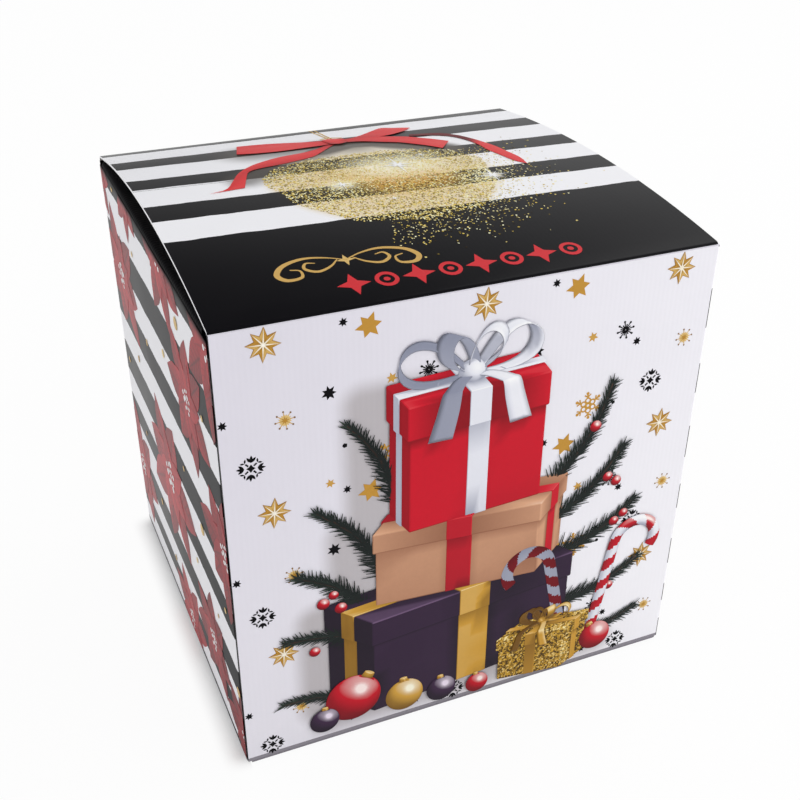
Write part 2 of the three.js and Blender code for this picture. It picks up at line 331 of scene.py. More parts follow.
@dataclass(frozen=True)
class Surface:
    """How a finish meets the light, the same all over.

    Attributes:
        roughness: 0 is a mirror.
        specular: The strength of the plain reflection.
    """

    roughness: float = 0.45
    specular: float = 0.35

    def shader(self, graph: Graph, colour: Tint, tint: "Number" = 0.0, height: "Signal | None" = None,
               depth: float = 0.02, gloss: "Signal | None" = None) -> None:
        """Ends a material's tree in a Principled shader.

        Args:
            graph: The material's graph.
            colour: The base colour.
            tint: A small number that lightens or darkens it.
            height: The relief, as a share of its depth.
            depth: How deep a height of 1 is, in millimetres.
            gloss: The plain reflection's strength where it isn't the same all over.
        """
        feeds = {"Base Color": colour, "Roughness": self.roughness,
                 "Specular IOR Level": self.specular if gloss is None else gloss}
        if isinstance(tint, Signal):
            grey = graph.node("ShaderNodeCombineColor", dict.fromkeys(range(3), tint + 1.0))
            feeds["Base Color"] = graph.mix(1.0, colour, grey.outputs[0], "MULTIPLY")
            feeds["Roughness"] = tint * 2.0 + self.roughness
        if height is not None:
            bump = graph.node("ShaderNodeBump", {"Distance": depth * MM, "Height": height})
            feeds["Normal"] = bump.outputs[0]
        shader = graph.node("ShaderNodeBsdfPrincipled", feeds)
        graph.node("ShaderNodeOutputMaterial", {"Surface": shader.outputs[0]})


def new_graph(name: str) -> tuple[Material, Graph]:
    """Makes an empty material and the graph that fills it."""
    material = bpy.data.materials.new(name)
    material.use_nodes = True
    material.node_tree.nodes.clear()
    return material, Graph(material.node_tree)


@dataclass(frozen=True)
class Ink:
    """A printed colour on a plate of ink, shaded by the tone that the plate's points carry.

    Attributes:
        name: The material's name.
        shade: The colour at tone 0.
        body: The colour at tone 0.5.
        glint: The colour at tone 1.
        surface: How it meets the light.
        mottle: How much its colour wavers.
    """

    name: str
    shade: Colour
    body: Colour
    glint: Colour
    surface: Surface = Surface()
    mottle: float = 0.06

    def material(self) -> Material:
        """Returns the material, which is built the first time."""
        found = bpy.data.materials.get(self.name)
        if found:
            return found
        material, graph = new_graph(self.name)
        x, y, z = graph.place()
        wander = (graph.noise(graph.vector(x, y, z), 0.5, 4.0) - 0.5) * self.mottle
        tone = graph.attribute("tone") + self.pattern(graph)
        colour = graph.ramp(tone, [(0.0, self.shade), (0.5, self.body), (1.0, self.glint)])
        self.finish(graph, colour, wander)
        return material

    def pattern(self, graph: Graph) -> "Number":
        """Returns what the ink adds to the tone; plain ink adds nothing."""
        return 0.0

    def finish(self, graph: Graph, colour: Tint, wander: Signal) -> None:
        """Ends the material's tree in its shader."""
        self.surface.shader(graph, colour, wander)


@dataclass(frozen=True)
class PetalInk(Ink):
    """Ink of a leaf or petal, with darker veins that run out from its rib."""

    veins: float = 9.0

    def pattern(self, graph: Graph) -> "Number":
        """Returns the veins as a small lowering of the tone."""
        along = graph.attribute("along")
        across = abs(graph.attribute("across"))
        slant = (along * self.veins - across * 1.6) * (2 * pi)
        lines = slant.sine().rise(0.55, 1.0) * -0.16
        rib = across.rise(0.16, 0.0) * -0.2
        return lines + rib

    def finish(self, graph: Graph, colour: Tint, wander: Signal) -> None:
        """Ends the tree in a shader whose colour carries painted shade: darker towards the front and low on
        the wall, and black under the lid, as the wall's is.
        """
        _, y, z = graph.place()
        # Painted shade: the petals darken towards the front and low down, and turn black under the lid.
        near = y.rise(10.0, -HALF_DEPTH)
        painted_shade_colour = graph.mix(near * (z.rise(260.0, 60.0) * 0.25 + 0.13), colour, BLACK)
        painted_shade_colour = graph.mix(under_lid(z), painted_shade_colour, BLACK)
        self.surface.shader(graph, painted_shade_colour, wander, gloss=side_gloss(self.surface.specular, y, z))


def under_lid(z: Signal) -> Signal:
    """Is 1 at a side wall's top, in the dark under the lid, and 0 a little below."""
    return z.rise(SIDE_TOP - 7.5, SIDE_TOP)


def side_gloss(specular: float, y: Signal, z: Signal) -> Signal:
    """Returns a side wall's reflection, which grows towards the back and dies under the lid."""
    along = y.rise(-HALF_DEPTH, 0.0) * 0.36 + 0.64
    along = along * (1.0 - y.rise(10.0, -HALF_DEPTH) * z.rise(260.0, 60.0) * 0.45)
    along = along + y.rise(-30.0, 100.0) * (z.rise(260.0, 150.0) * 0.9 + 0.35)
    return along * (1.0 - under_lid(z)) * specular


GLOSS = Surface(roughness=0.42, specular=0.16)
BLACK_INK = Ink("black_ink", ink(6, 6, 8), ink(12, 11, 15), ink(44, 42, 48), Surface(0.5, 0.06))
GOLD_INK = Ink("gold_ink", GOLD_DARK, GOLD, GOLD_LIGHT, GLOSS, 0.16)
GOLD_RIDGE_INK = Ink("gold_ridge_ink", GOLD, ink(240, 214, 146), WHITE, GLOSS, 0.1)
GOLD_FLANK_INK = Ink("gold_flank_ink", ink(116, 78, 20), ink(168, 120, 38), GOLD, GLOSS, 0.2)
RED_INK = Ink("red_ink", RED_DARK, RED, ink(240, 84, 84), GLOSS)
WHITE_INK = Ink("white_ink", ink(176, 178, 190), ink(240, 240, 244), WHITE, GLOSS)
PETAL_INK = PetalInk("poinsettia_ink", ink(84, 10, 18), ink(176, 26, 38), ink(214, 60, 62), GLOSS)
FLAKE_INK = Ink("gold_flake_ink", ink(52, 38, 8), ink(236, 206, 92), ink(255, 253, 212), GLOSS)
RIBBON_INK = Ink("red_ribbon_ink", ink(92, 8, 16), ink(226, 50, 54), ink(248, 112, 108), GLOSS)


@dataclass(frozen=True)
class Panel:
    """A flat printed face of the object, with its own right and up directions.

    Attributes:
        body: The body that it rides on.
        slot: The material slot that its print belongs to; not used.
        origin: Where its right and up are 0, in millimetres.
        right: Its right, seen from outside.
        up: Its up.
    """

    body: str
    slot: str
    origin: Vector
    right: Vector
    up: Vector

    def cut(self, mesh: Mesh) -> None:
        """Leaves the shapes whole, because the panel is flat."""

    def settle(self, mesh: Mesh) -> None:
        """Moves shapes from the panel's own plane onto the object, in metres."""
        out = self.right.cross(self.up)
        columns = (self.right, self.up, out, self.origin)
        place = Matrix([[column[axis] for column in columns] for axis in range(3)] + [[0, 0, 0, 1]])
        bmesh.ops.transform(mesh, matrix=Matrix.Scale(MM, 4) @ place, verts=mesh.verts[:])


@dataclass(frozen=True)
class BowedPanel(Panel):
    """The lid's bowed top: shapes are cut at its facets and dropped on it."""

    facets: int = 24

    def cut(self, mesh: Mesh) -> None:
        """Cuts the shapes across the bow, so that they can follow it."""
        for step in range(1, self.facets):
            y = LID_LOW.y + (LID_HIGH.y - LID_LOW.y) * step / self.facets
            geometry = mesh.verts[:] + mesh.edges[:] + mesh.faces[:]
            bmesh.ops.bisect_plane(mesh, geom=geometry, plane_co=(0, y, 0), plane_no=(0, 1, 0))

    def settle(self, mesh: Mesh) -> None:
        """Drops each point onto the lid and keeps its own height above it."""
        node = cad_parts["lid_panel"].data
        corners = [vertex.co.copy() for vertex in node.vertices]
        tree = BVHTree.FromPolygons(corners, [tuple(face.vertices) for face in node.polygons])
        above = LID_HIGH.z + 10
        for vertex in mesh.verts:
            start = Vector((vertex.co.x, vertex.co.y, above)) * MM
            landed = tree.ray_cast(start, Vector((0, 0, -1)))[0]
            vertex.co = Vector((start.x, start.y, landed.z + vertex.co.z * MM))


X_AXIS, Y_AXIS, Z_AXIS = Vector((1, 0, 0)), Vector((0, 1, 0)), Vector((0, 0, 1))
FRONT = Panel("case", "case_print", Vector((0, -HALF_DEPTH, 0)), X_AXIS, Z_AXIS)
LEFT = Panel("case", "case_print", Vector((-HALF_WIDTH, 0, 0)), -Y_AXIS, Z_AXIS)
RIGHT = Panel("case", "case_print", Vector((HALF_WIDTH, 0, 0)), Y_AXIS, Z_AXIS)
BACK = Panel("case", "case_print", Vector((0, HALF_DEPTH, 0)), -X_AXIS, Z_AXIS)
LID_TOP = BowedPanel("lid", "lid_print", Vector((0, 0, 0)), X_AXIS, Y_AXIS)


def smooth_line(points: Sequence[Sequence[float]], per_span: int = 6) -> list[Vector]:
    """Draws a smooth line through points.

    Args:
        points: The points that the line passes, of two or three lengths each.
        per_span: How many steps each span gets.

    Returns:
        The line's points, ends included.
    """
    line = [Vector((*point, 0)[:3]) for point in points]
    ends = [line[0] * 2 - line[1], *line, line[-1] * 2 - line[-2]]
    drawn = []
    for before, start, end, after in zip(ends, ends[1:], ends[2:], ends[3:]):
        for step in range(per_span):
            t = step / per_span
            drawn.append(0.5 * (2 * start + (end - before) * t
                                + (2 * before - 5 * start + 4 * end - after) * t ** 2
                                + (3 * start - before - 3 * end + after) * t ** 3))
    return drawn + [line[-1]]


def point_along(line: Sequence[Vector], share: float) -> Vector:
    """Returns the point at a share of a line's length."""
    lengths = [0.0]
    for start, end in zip(line, line[1:]):
        lengths.append(lengths[-1] + (end - start).length)
    wanted = share * lengths[-1]
    for index, (low, high) in enumerate(zip(lengths, lengths[1:])):
        if wanted <= high:
            return line[index].lerp(line[index + 1], (wanted - low) / max(high - low, 1e-9))
    return line[-1]

def weave(mesh: Mesh, rows: Sequence[Sequence[bmesh.types.BMVert]], colour: int = 0) -> None:
    """Fills the net between rows of points with faces of one ink."""
    for low, high in zip(rows, rows[1:]):
        for corners in zip(low, low[1:], high[1:], high):
            mesh.faces.new(corners).material_index = colour

class PrintLayer:
    """A layer of print on one panel: flat shapes in millimetres, thickened into thin closed plates."""

    lift = 0.02
    thickness = 0.04
    level_step = 0.14
    shape_step = 0.004
    shape_steps = 20

    def __init__(self, name: str, panel: Panel, *inks: Ink, level: int = 0) -> None:
        """Starts an empty layer.

        Args:
            name: The finished piece's name.
            panel: What it is printed on.
            inks: Its inks, which shapes name by their number.
            level: How many layers lie under it.
        """
        self.name = name
        self.panel = panel
        self.inks = inks
        self.base = self.lift + level * self.level_step
        self.mesh = bmesh.new()
        layers = self.mesh.verts.layers.float
        for label in ("tone", "along", "across"):
            layers.new(label)
        self.tone = layers["tone"]
        self.along = layers["along"]
        self.across = layers["across"]
        self.stand = Matrix.Identity(4)
        self.here = self.stand
        self.shapes = 0

    def at(self, right: float, up: float, turn: float = 0.0, height: float = 0.0) -> "PrintLayer":
        """Sets where the next shapes go, how far they are turned and how high they lie."""
        self.stand = move((right, up, height)) @ Matrix.Rotation(turn, 4, "Z")
        return self

    def start_shape(self) -> None:
        """Lifts the next shape a hair, so that two that overlap don't share a plane."""
        self.shapes = (self.shapes + 1) % self.shape_steps
        self.here = move((0, 0, self.shapes * self.shape_step)) @ self.stand

    def point(self, place: Vector | Point, tone: float = 0.5, along: float = 0.0,
              across: float = 0.0) -> bmesh.types.BMVert:
        """Adds a point of a shape, with its tone and its place along and across it."""
        flat = Vector((place[0], place[1], 0))
        vertex = self.mesh.verts.new(self.here @ flat)
        vertex[self.tone] = tone
        vertex[self.along] = along
        vertex[self.across] = across
        return vertex

    def outline(self, points: Iterable[Vector | Point], tone: float = 0.5, colour: int = 0) -> None:
        """Adds a filled outline."""
        self.start_shape()
        face = self.mesh.faces.new([self.point(place, tone) for place in points])
        face.material_index = colour

    def disc(self, right: float, up: float, radius: float, tone: float = 0.5, colour: int = 0,
             sides: int = 12) -> None:
        """Adds a filled circle."""
        self.start_shape()
        made = bmesh.ops.create_circle(
            self.mesh, cap_ends=True, segments=sides, radius=radius,
            matrix=self.here @ move((right, up, 0)))
        for vertex in made["verts"]:
            vertex[self.tone] = tone
        for face in {face for vertex in made["verts"] for face in vertex.link_faces}:
            face.material_index = colour

    def ring(self, up: float, radius: float, width: float, tone: float = 0.5, sides: int = 20) -> None:
        """Adds a ring of the first ink, whose width lies inside its radius."""
        self.start_shape()
        place = self.here @ move((0, up, 0))
        loops = [bmesh.ops.create_circle(self.mesh, segments=sides, radius=size, matrix=place)["verts"]
                 for size in (radius, radius - width)]
        edges = {edge for loop in loops for vertex in loop for edge in vertex.link_edges}
        bmesh.ops.bridge_loops(self.mesh, edges=list(edges))
        for vertex in loops[0] + loops[1]:
            vertex[self.tone] = tone

    def stroke(self, start: Point, end: Point, width: float, tone: float = 0.5, colour: int = 0,
               end_width: float | None = None) -> None:
        """Adds a straight stroke, which may widen or narrow towards its end."""
        first, last = Vector((*start, 0)), Vector((*end, 0))
        side = (last - first).normalized().cross(Z_AXIS) / 2
        wide = width if end_width is None else end_width
        self.outline([first + side * width, last + side * wide, last - side * wide, first - side * width],
                     tone, colour)

    def band(self, line: Sequence[Vector], width: Callable[[float], float],
             tone: Callable[[float, float], float], colour: int = 0) -> None:
        """Adds a band along a line.

        Args:
            line: The points of its middle.
            width: Its width at a share of its length.
            tone: Its tone at a share of its length and a place across it, from -1 to 1.
            colour: The number of its ink.
        """
        self.start_shape()
        rows = []
        last = len(line) - 1
        for index, middle in enumerate(line):
            share = index / last
            ahead = line[min(index + 1, last)] - line[max(index - 1, 0)]
            side = ahead.normalized().cross(Z_AXIS) * width(share) / 2
            rows.append([self.point(middle + side * place, tone(share, place), share, place)
                         for place in (-1.0, 0.0, 1.0)])
        weave(self.mesh, rows, colour)

    def between(self, first: Sequence[Point], second: Sequence[Point],
                tone: Callable[[float, float], float], colour: int = 0, steps: int = 30) -> None:
        """Adds a shape between two edges.

        Args:
            first: Points of one edge.
            second: Points of the other edge, which runs the same way.
            tone: Its tone at a share of its length and a place across it, from -1 to 1.
            colour: The number of its ink.
            steps: Into how many rows it is divided.
        """
        self.start_shape()
        edges = [smooth_line(points, 10) for points in (first, second)]
        rows = []
        for share in (step / steps for step in range(steps + 1)):
            start, end = (point_along(edge, share) for edge in edges)
            rows.append([self.point(start.lerp(end, (place + 1) / 2), tone(share, place), share, place)
                         for place in (-1.0, -0.5, 0.0, 0.5, 1.0)])
        weave(self.mesh, rows, colour)

    def leaf(self, length: float, width: float, tone: float = 0.5, colour: int = 0,
             fullness: float = 0.85, bend: float = 0.0) -> None:
        """Adds a pointed leaf that runs up from the stand, darker on its left."""
        line = [Vector((bend * (step / 9) ** 2, length * step / 9, 0)) for step in range(10)]
        self.band(line, lambda t: width * max(sin(pi * min(t, 1.0) ** fullness), 0.02),
                  lambda t, side: tone + 0.14 * side - 0.12 * t, colour)

    def finish(self) -> None:
        """Thickens the shapes and settles them on the panel as one piece."""
        mesh = self.mesh
        self.panel.cut(mesh)
        bmesh.ops.translate(mesh, verts=mesh.verts[:], vec=(0, 0, self.base))
        raised = bmesh.ops.extrude_face_region(mesh, geom=mesh.faces[:])["geom"]
        tops = [item for item in raised if isinstance(item, bmesh.types.BMVert)]
        bmesh.ops.translate(mesh, verts=tops, vec=(0, 0, self.thickness))
        self.panel.settle(mesh)
        bmesh.ops.recalc_face_normals(mesh, faces=mesh.faces[:])
        hand_over(self.name, mesh, [colour.material() for colour in self.inks], self.panel.body)


def new_piece(name: str, mesh: Mesh,
              materials: Sequence[Material]) -> bpy.types.Object:
    """Turns a finished bmesh into an object, which no body carries yet.

    Args:
        name: The piece's name.
        mesh: Its shape in metres, in place; it is freed here.
        materials: Its materials, in the order that its faces number them.

    Returns:
        The piece.
    """
    data = bpy.data.meshes.new(name)
    mesh.to_mesh(data)
    mesh.free()
    piece = bpy.data.objects.new(name, data)
    bpy.context.scene.collection.objects.link(piece)
    for material in materials:
        data.materials.append(material)
    return piece


def hand_over(name: str, mesh: Mesh, materials: Sequence[Material], body: str) -> None:
    """Turns a finished bmesh into a piece that rides on a body.

    Args:
        name: The piece's name.
        mesh: Its shape in metres, in place; it is freed here.
        materials: Its materials, in the order that its faces number them.
        body: The body that it rides on.
    """
    piece = new_piece(name, mesh, materials)
    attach(piece, body)
    LOG.info("%s: %d faces on %s", name, len(piece.data.polygons), body)


class Wall(Enum):
    """A striped wall of the case, by its name."""

    LEFT = "left"
    RIGHT = "right"
    BACK = "back"

    @property
    def panel(self) -> Panel:
        """The panel that this wall's print is laid on."""
        return {"left": LEFT, "right": RIGHT, "back": BACK}[self.value]


def striped(graph: Graph, place: Signal, edges: Sequence[float], ends: Point) -> Tint:
    """Makes black and white stripes from the edges between them, the lowest stripe black.

    Args:
        graph: The material's graph.
        place: The place across the stripes.
        edges: Where one stripe ends and the next begins, from low to high.
        ends: A place below them all and a place above them all.

    Returns:
        The stripes' colour.
    """
    low, high = ends
    span = high - low
    stops = [(0.0, BLACK)]
    for index, edge in enumerate(edges):
        stops.append(((edge - low) / span, BLACK if index % 2 else PAPER))
    return graph.ramp((place - low) / span, stops, stepped=True)


def near_line(x: Signal, y: Signal, start: Point, end: Point) -> Signal:
    """Measures how far a point lies from a straight line between two ends."""
    run = Vector(end) - Vector(start)
    along = ((x - start[0]) * run.x + (y - start[1]) * run.y) / run.length_squared
    along = along.most(0.0).least(1.0)
    right = x - start[0] - along * run.x
    up = y - start[1] - along * run.y
    return (right * right + up * up).power(0.5)


def rounded_box_gap(x: Signal, y: Signal, front: Signal) -> Signal:
    """Measures how far a point lies outside the case's outline, seen from above.

    Args:
        x, y: The point.
        front: Where the outline's front lies there.

    Returns:
        The distance, negative inside.
    """
    middle = (front + HALF_DEPTH) * 0.5
    reach = (front * -1.0 + HALF_DEPTH) * 0.5
    right = abs(x) - (HALF_WIDTH - FOLD)
    ahead = abs(y - middle) - (reach - FOLD)
    corner = (right.most(0.0).power(2.0) + ahead.most(0.0).power(2.0)).power(0.5)
    return corner + right.most(ahead).least(0.0) - FOLD


@dataclass(frozen=True)
class CasePrint:
    """The walls: print outside, raw edges, and a plain liner inside; the colour also carries painted shade
    under the lid and at the front's foot, and painted light across the front.
    """

    surface: Surface = Surface(roughness=0.42, specular=0.12)
    stripe_edges: tuple[float, ...] = (5, 21, 36, 54, 75, 100, 120, 141, 164, 188, 209, 233, 258, 284)
    stripe_ends: Point = (-40, 340)
    right_rise: float = 13.0
    skin: float = 0.06
    front_sheet: float = -138.25
    wrap_start: float = 148.2
    foot_band: float = 5.6
    joint_start: float = -136.7
    joint_drop: float = 4.5
    raw_rim: float = 1.3
    flute_show: float = 0.35
    shadow: Colour = ink(176, 170, 172)
    ground_shadow: Colour = ink(150, 142, 144)
    bright_ground: Colour = ink(243, 242, 247)
    under_lid_black: Colour = ink(3, 3, 4)
    shadow_boxes: tuple[tuple[float, ...], ...] = ((-44, 66, 70, 46), (-34, 128, 60, 40), (-36, 196, 46, 58))
    shadow_corner: float = 12.0

    def material(self) -> Material:
        """Builds the material from the point's place on the case."""
        material, graph = new_graph("case_print")
        x, y, z = graph.place()
        on_left = x < 0.0
        front_line = on_left * (SEAM_FRONT + HALF_DEPTH) - HALF_DEPTH
        on_sheet = on_left * (y < self.front_sheet)
        sheet_face = y < (self.skin - HALF_DEPTH)
        fold_face = rounded_box_gap(x, y, front_line) > -self.skin
        printed = on_sheet * sheet_face + (1.0 - on_sheet) * fold_face
        on_front = (y < (on_left * (self.front_sheet + HALF_DEPTH - FOLD) - (HALF_DEPTH - FOLD)))
        on_front = on_front * (x < self.wrap_start)
        [shift] = graph.shared(BRUSH, Along=x + y, Row=z)
        turned = (x + HALF_WIDTH) / (2 * HALF_WIDTH)
        stripes = striped(graph, z + shift - turned * self.right_rise, self.stripe_edges, self.stripe_ends)
        joint = on_left * (y < self.joint_start) * (z < HEIGHT - self.joint_drop)
        stripes = graph.mix(joint, stripes, BLACK)
        colour = graph.mix(on_front, stripes, self.front_ground(graph, x, z))
        cut_edge = on_left * (x < (0.1 - SHEET_EDGE)) * (y < self.front_sheet)
        top_edge = (z > HEIGHT - self.raw_rim) * (y < self.joint_start)
        raw = graph.mix(top_edge, RAW_BOARD, GROUND)
        colour = graph.mix(printed * (1.0 - top_edge), raw, colour)
        colour = graph.mix(cut_edge, colour, BLACK)
        # Painted shade: the side walls' tops turn black where the lid shades them.
        side_top = (abs(x) > HALF_WIDTH - BOARD * 2) * (y > self.joint_start)
        colour = graph.mix(under_lid(z) * side_top, colour, self.under_lid_black)
        gloss = side_gloss(self.surface.specular, y, z)
        gloss = on_front * self.surface.specular + (1.0 - on_front) * gloss
        tint, height = graph.shared(PAPER_FACE, X=x, Y=y, Z=z, Across=x + y, Flute_depth=self.flute_show)
        self.surface.shader(graph, colour, tint, height, gloss=gloss)
        return material

    def front_ground(self, graph: Graph, x: Signal, z: Signal) -> Tint:
        """Returns the front's pale ground, with the picture's soft shadow, painted light that brightens it to
        the right and towards the bottom, and a foot band of painted shade.
        """
        shade = 0.0
        for right, up, half_width, half_height in self.shadow_boxes:
            beside = abs(x - right) - (half_width - self.shadow_corner)
            above = abs(z - up) - (half_height - self.shadow_corner)
            corner = (beside.most(0.0).power(2.0) + above.most(0.0).power(2.0)).power(0.5)
            shade = corner.rise(19.0, 4.0).most(shade)
        ground = near_line(x, z, (-96, 18), (96, 18)).rise(19.0, 2.0)
        # Painted light: the ground is mixed towards a brighter colour to the right and towards the bottom, as
        # light falls on the front.
        share = x.rise(-HALF_WIDTH, HALF_WIDTH) * 0.65 + z.rise(HEIGHT, 0.0) * 0.35
        colour = graph.mix(share, GROUND, self.bright_ground)
        colour = graph.mix(shade * 0.82, colour, self.shadow)
        colour = graph.mix(ground * 0.6, colour, self.ground_shadow)
        # Painted shade: the front's lowest band is grey, standing in for the shadow at the case's foot.
        return graph.mix(z < self.foot_band, colour, FOOT_SHADE_GREY)


@dataclass(frozen=True)
class LidPrint:
    """The lid: stripes across it, black at its front, a gold glow, raw edges whose lower part is painted
    shade, and a plain underside.
    """

    surface: Surface = Surface(roughness=0.3, specular=0.16)
    stripe_edges: tuple[float, ...] = (-53, -27, -4, 23, 45, 74, 97, 125.5)
    stripe_ends: Point = (-160, 160)
    glow_centre: Point = (2.0, 3.0)
    glow_radius: float = 72.0
    raw_edge: float = 0.05
    liner: float = 1.5
    line_edges: Point = (24.2, 26.0)
    line_end: float = -84.0
    bow_height: float = 12.0
    bow_skew: float = 3.0
    front_skin: float = 1.45
    cut_grey: Colour = ink(36, 34, 38)
    ribbon_lines: tuple[tuple[Point, Point], ...] = (
        ((-20, 66), (4, 76)), ((4, 76), (20, 73)), ((20, 73), (60, 42)))
    spots: tuple[tuple[float, float, float], ...] = (
        (15.8, 18.8, 34.0), (64.7, -17.3, 6.5), (-29.9, -4.8, 9.0))

    def material(self) -> Material:
        """Builds the material from the point's place on the lid at rest."""
        material, graph = new_graph("lid_print")
        x, y, z = graph.place()
        [shift] = graph.shared(BRUSH, Along=x, Row=y, Wave=2.4, Ragged=0.6)
        colour = striped(graph, y + shift, self.stripe_edges, self.stripe_ends)
        low, high = self.line_edges
        line = ((y + shift) > low) * ((y + shift) < high) * (x < self.line_end)
        colour = graph.mix(line, colour, PAPER)
        colour = self.glow(graph, colour, x, y)
        run = ((y * -1.0 + HALF_DEPTH) / (LID_HIGH.y - LID_LOW.y)) * 2.0 - 1.0
        bulge = 1.0 - run * run
        top = bulge * (x * (-self.bow_skew / HALF_WIDTH) + self.bow_height) + HEIGHT
        outside = (z > (top - BOARD / 2)).most(y < LID_LOW.y + self.front_skin)
        outside = outside.most(y > LID_HIGH.y - BOARD / 2)
        side_cut = abs(x) > LID_HIGH.x - self.raw_edge
        printed = outside * (abs(x) < LID_HIGH.x - self.raw_edge)
        # Painted shade: below its white top liner, the side cut edge is dark grey, as the flutes in it are
        # shaded.
        bare = graph.mix(side_cut, RAW_BOARD, self.cut_grey)
        bare = graph.mix(side_cut * (z > (top - self.liner)), bare, PAPER)
        colour = graph.mix(printed, bare, colour)
        tint, height = graph.shared(PAPER_FACE, X=x, Y=y, Z=z, Across=x, Flute_depth=0.1)
        self.surface.shader(graph, colour, tint, height)
        return material

    def glow(self, graph: Graph, colour: Tint, x: Signal, y: Signal) -> Tint:
        """Lays the bauble's gold haze, the bow's shadow and bright spots on the stripes."""
        right = x - self.glow_centre[0]
        right = right.most(0.0) + right.least(0.0) * 0.92
        up = y - self.glow_centre[1]
        ball = (right * right + up * up).power(0.5)
        low = right * right * 0.72 + up.most(0.0).power(2.0) * 2.1
        distance = ball.most(low.power(0.5))
        grain = graph.noise(graph.vector(x, y, 0.0), 1.1, 3.0).rise(0.34, 0.66)
        tint = distance.rise(self.glow_radius, 62.0) * (grain * 0.3 + 0.1) + distance.rise(62.0, 8.0) * 0.5
        colour = graph.mix(tint, colour, ink(238, 206, 128), "MULTIPLY")
        colour = graph.mix(ball.rise(74.0, 64.0) * 0.55, colour, ink(238, 218, 168), "MULTIPLY")
        haze = distance.rise(self.glow_radius, 50.0) * grain * 0.08 + distance.rise(46.0, 6.0) * 0.3
        colour = graph.mix(haze, colour, ink(240, 208, 122))
        shade = near_line(x, y, (-62, 80), (4, 74)).rise(32.0, 3.0)
        shade = shade.most(near_line(x, y, (-82, 22), (-8, 72)).rise(19.0, 3.0))
        for start, end in self.ribbon_lines:
            shade = shade.most(near_line(x, y, start, end).rise(17.0, 6.0) * 1.3)
        colour = graph.mix(shade * 0.72, colour, ink(78, 70, 62))
        amber = near_line(x, y, (-2, -8), (28, -9)).rise(25.0, 2.0)
        colour = graph.mix(amber * 0.66, colour, ink(236, 170, 44))
        for spot_x, spot_y, reach in self.spots:
            spot = near_line(x, y, (spot_x - reach * 0.3, spot_y), (spot_x + reach * 0.3, spot_y))
            colour = graph.mix(spot.rise(reach, 1.0) * 0.85, colour, ink(255, 250, 232))
        return colour


@dataclass(frozen=True)
class FlapFinish:
    """A flap of plain board, whose outer face carries a coloured strip along its fold: print on the tuck and
    dust flaps, painted shade on the base flaps.
    """

    name: str
    print_colour: Colour
    outer: Callable[[Signal, Signal, Signal], Signal]
    strip: Callable[[Signal, Signal, Signal], Signal]
    surface: Surface = Surface(roughness=0.6, specular=0.04)

    def material(self) -> Material:
        """Builds the material; the two tests say where the outer face and its strip are."""
        material, graph = new_graph(self.name)
        x, y, z = graph.place()
        [shift] = graph.shared(BRUSH, Along=x + y, Row=z, Wave=1.0, Ragged=0.8)
        printed = self.outer(x, y, z) * self.strip(x + shift, y + shift, z)
        tint, height = graph.shared(PAPER_FACE, X=x, Y=y, Z=z, Across=y, Flute_depth=1.0)
        colour = graph.mix(printed, RAW_BOARD, self.print_colour)
        self.surface.shader(graph, colour, tint * 1.4, height, 0.04)
        return material


@dataclass(frozen=True)
class CartonFinish:
    """A gift carton's printed board, with a gold line inside every face's edge."""

    name: str
    colour: Colour
    pitch: Vector
    start: Vector
    size: Vector
    line_inset: float = 3.4
    line_width: float = 1.1
    surface: Surface = Surface(roughness=0.4, specular=0.35)

    def material(self) -> Material:
        """Builds the material; every carton's own edges come from the pack's even pitch."""
        material, graph = new_graph(self.name)
        places = graph.place()
        from_edge = []
        for place, pitch, start, size in zip(places, self.pitch, self.start, self.size):
            local = (place - start).part_of(pitch)
            from_edge.append(local.least(local * -1.0 + size))
        first, second, third = from_edge
        inset = first.least(second).most(first.most(second).least(third))
        line = (inset > self.line_inset) * (inset < self.line_inset + self.line_width)
        x, y, z = places
        tint, height = graph.shared(PAPER_FACE, X=x, Y=y, Z=z, Across=x + y, Flute_depth=0.0)
        worn = inset.rise(0.7, 0.0) * graph.noise(graph.vector(x, y, z), 0.8, 3.0).rise(0.5, 0.8)
        colour = graph.mix(line, self.colour, GOLD)
        colour = graph.mix(worn * 0.6, colour, RAW_BOARD)
        self.surface.shader(graph, colour, tint * 1.5, height)
        return material


def smooth_folds(nodes: Iterable[bpy.types.Object], angle: float = radians(24)) -> None:
    """Shades gentle bends of CAD nodes smoothly, by a modifier.

    Args:
        nodes: The nodes.
        angle: Edges that bend more than this stay sharp.
    """
    tree = bpy.data.node_groups.new("smooth_folds", "GeometryNodeTree")
    for way in ("INPUT", "OUTPUT"):
        tree.interface.new_socket("Geometry", in_out=way, socket_type="NodeSocketGeometry")
    graph = Graph(tree)
    source = graph.node("NodeGroupInput").outputs[0]
    weld = graph.node("GeometryNodeMergeByDistance", {"Geometry": source, "Distance": 0.01 * MM})
    faces = graph.node("GeometryNodeSetShadeSmooth", {"Geometry": weld.outputs["Geometry"]})
    bends = graph.node("GeometryNodeInputMeshEdgeAngle").outputs["Unsigned Angle"]
    sharp = graph.node("FunctionNodeCompare", {0: bends, 1: angle}, operation="GREATER_THAN")
    feeds = {"Geometry": faces.outputs["Geometry"], "Selection": sharp.outputs["Result"],
             "Shade Smooth": False}
    edges = graph.node("GeometryNodeSetShadeSmooth", feeds, domain="EDGE")
    graph.node("NodeGroupOutput", {0: edges.outputs["Geometry"]})
    for node in nodes:
        node.modifiers.new("smooth_folds", "NODES").node_group = tree


def dress(names: Iterable[str], material: Material) -> None:
    """Gives CAD nodes a better material."""
    for name in names:
        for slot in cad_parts[name].material_slots:
            slot.material = material
        LOG.info("%s: %s", name, material.name)


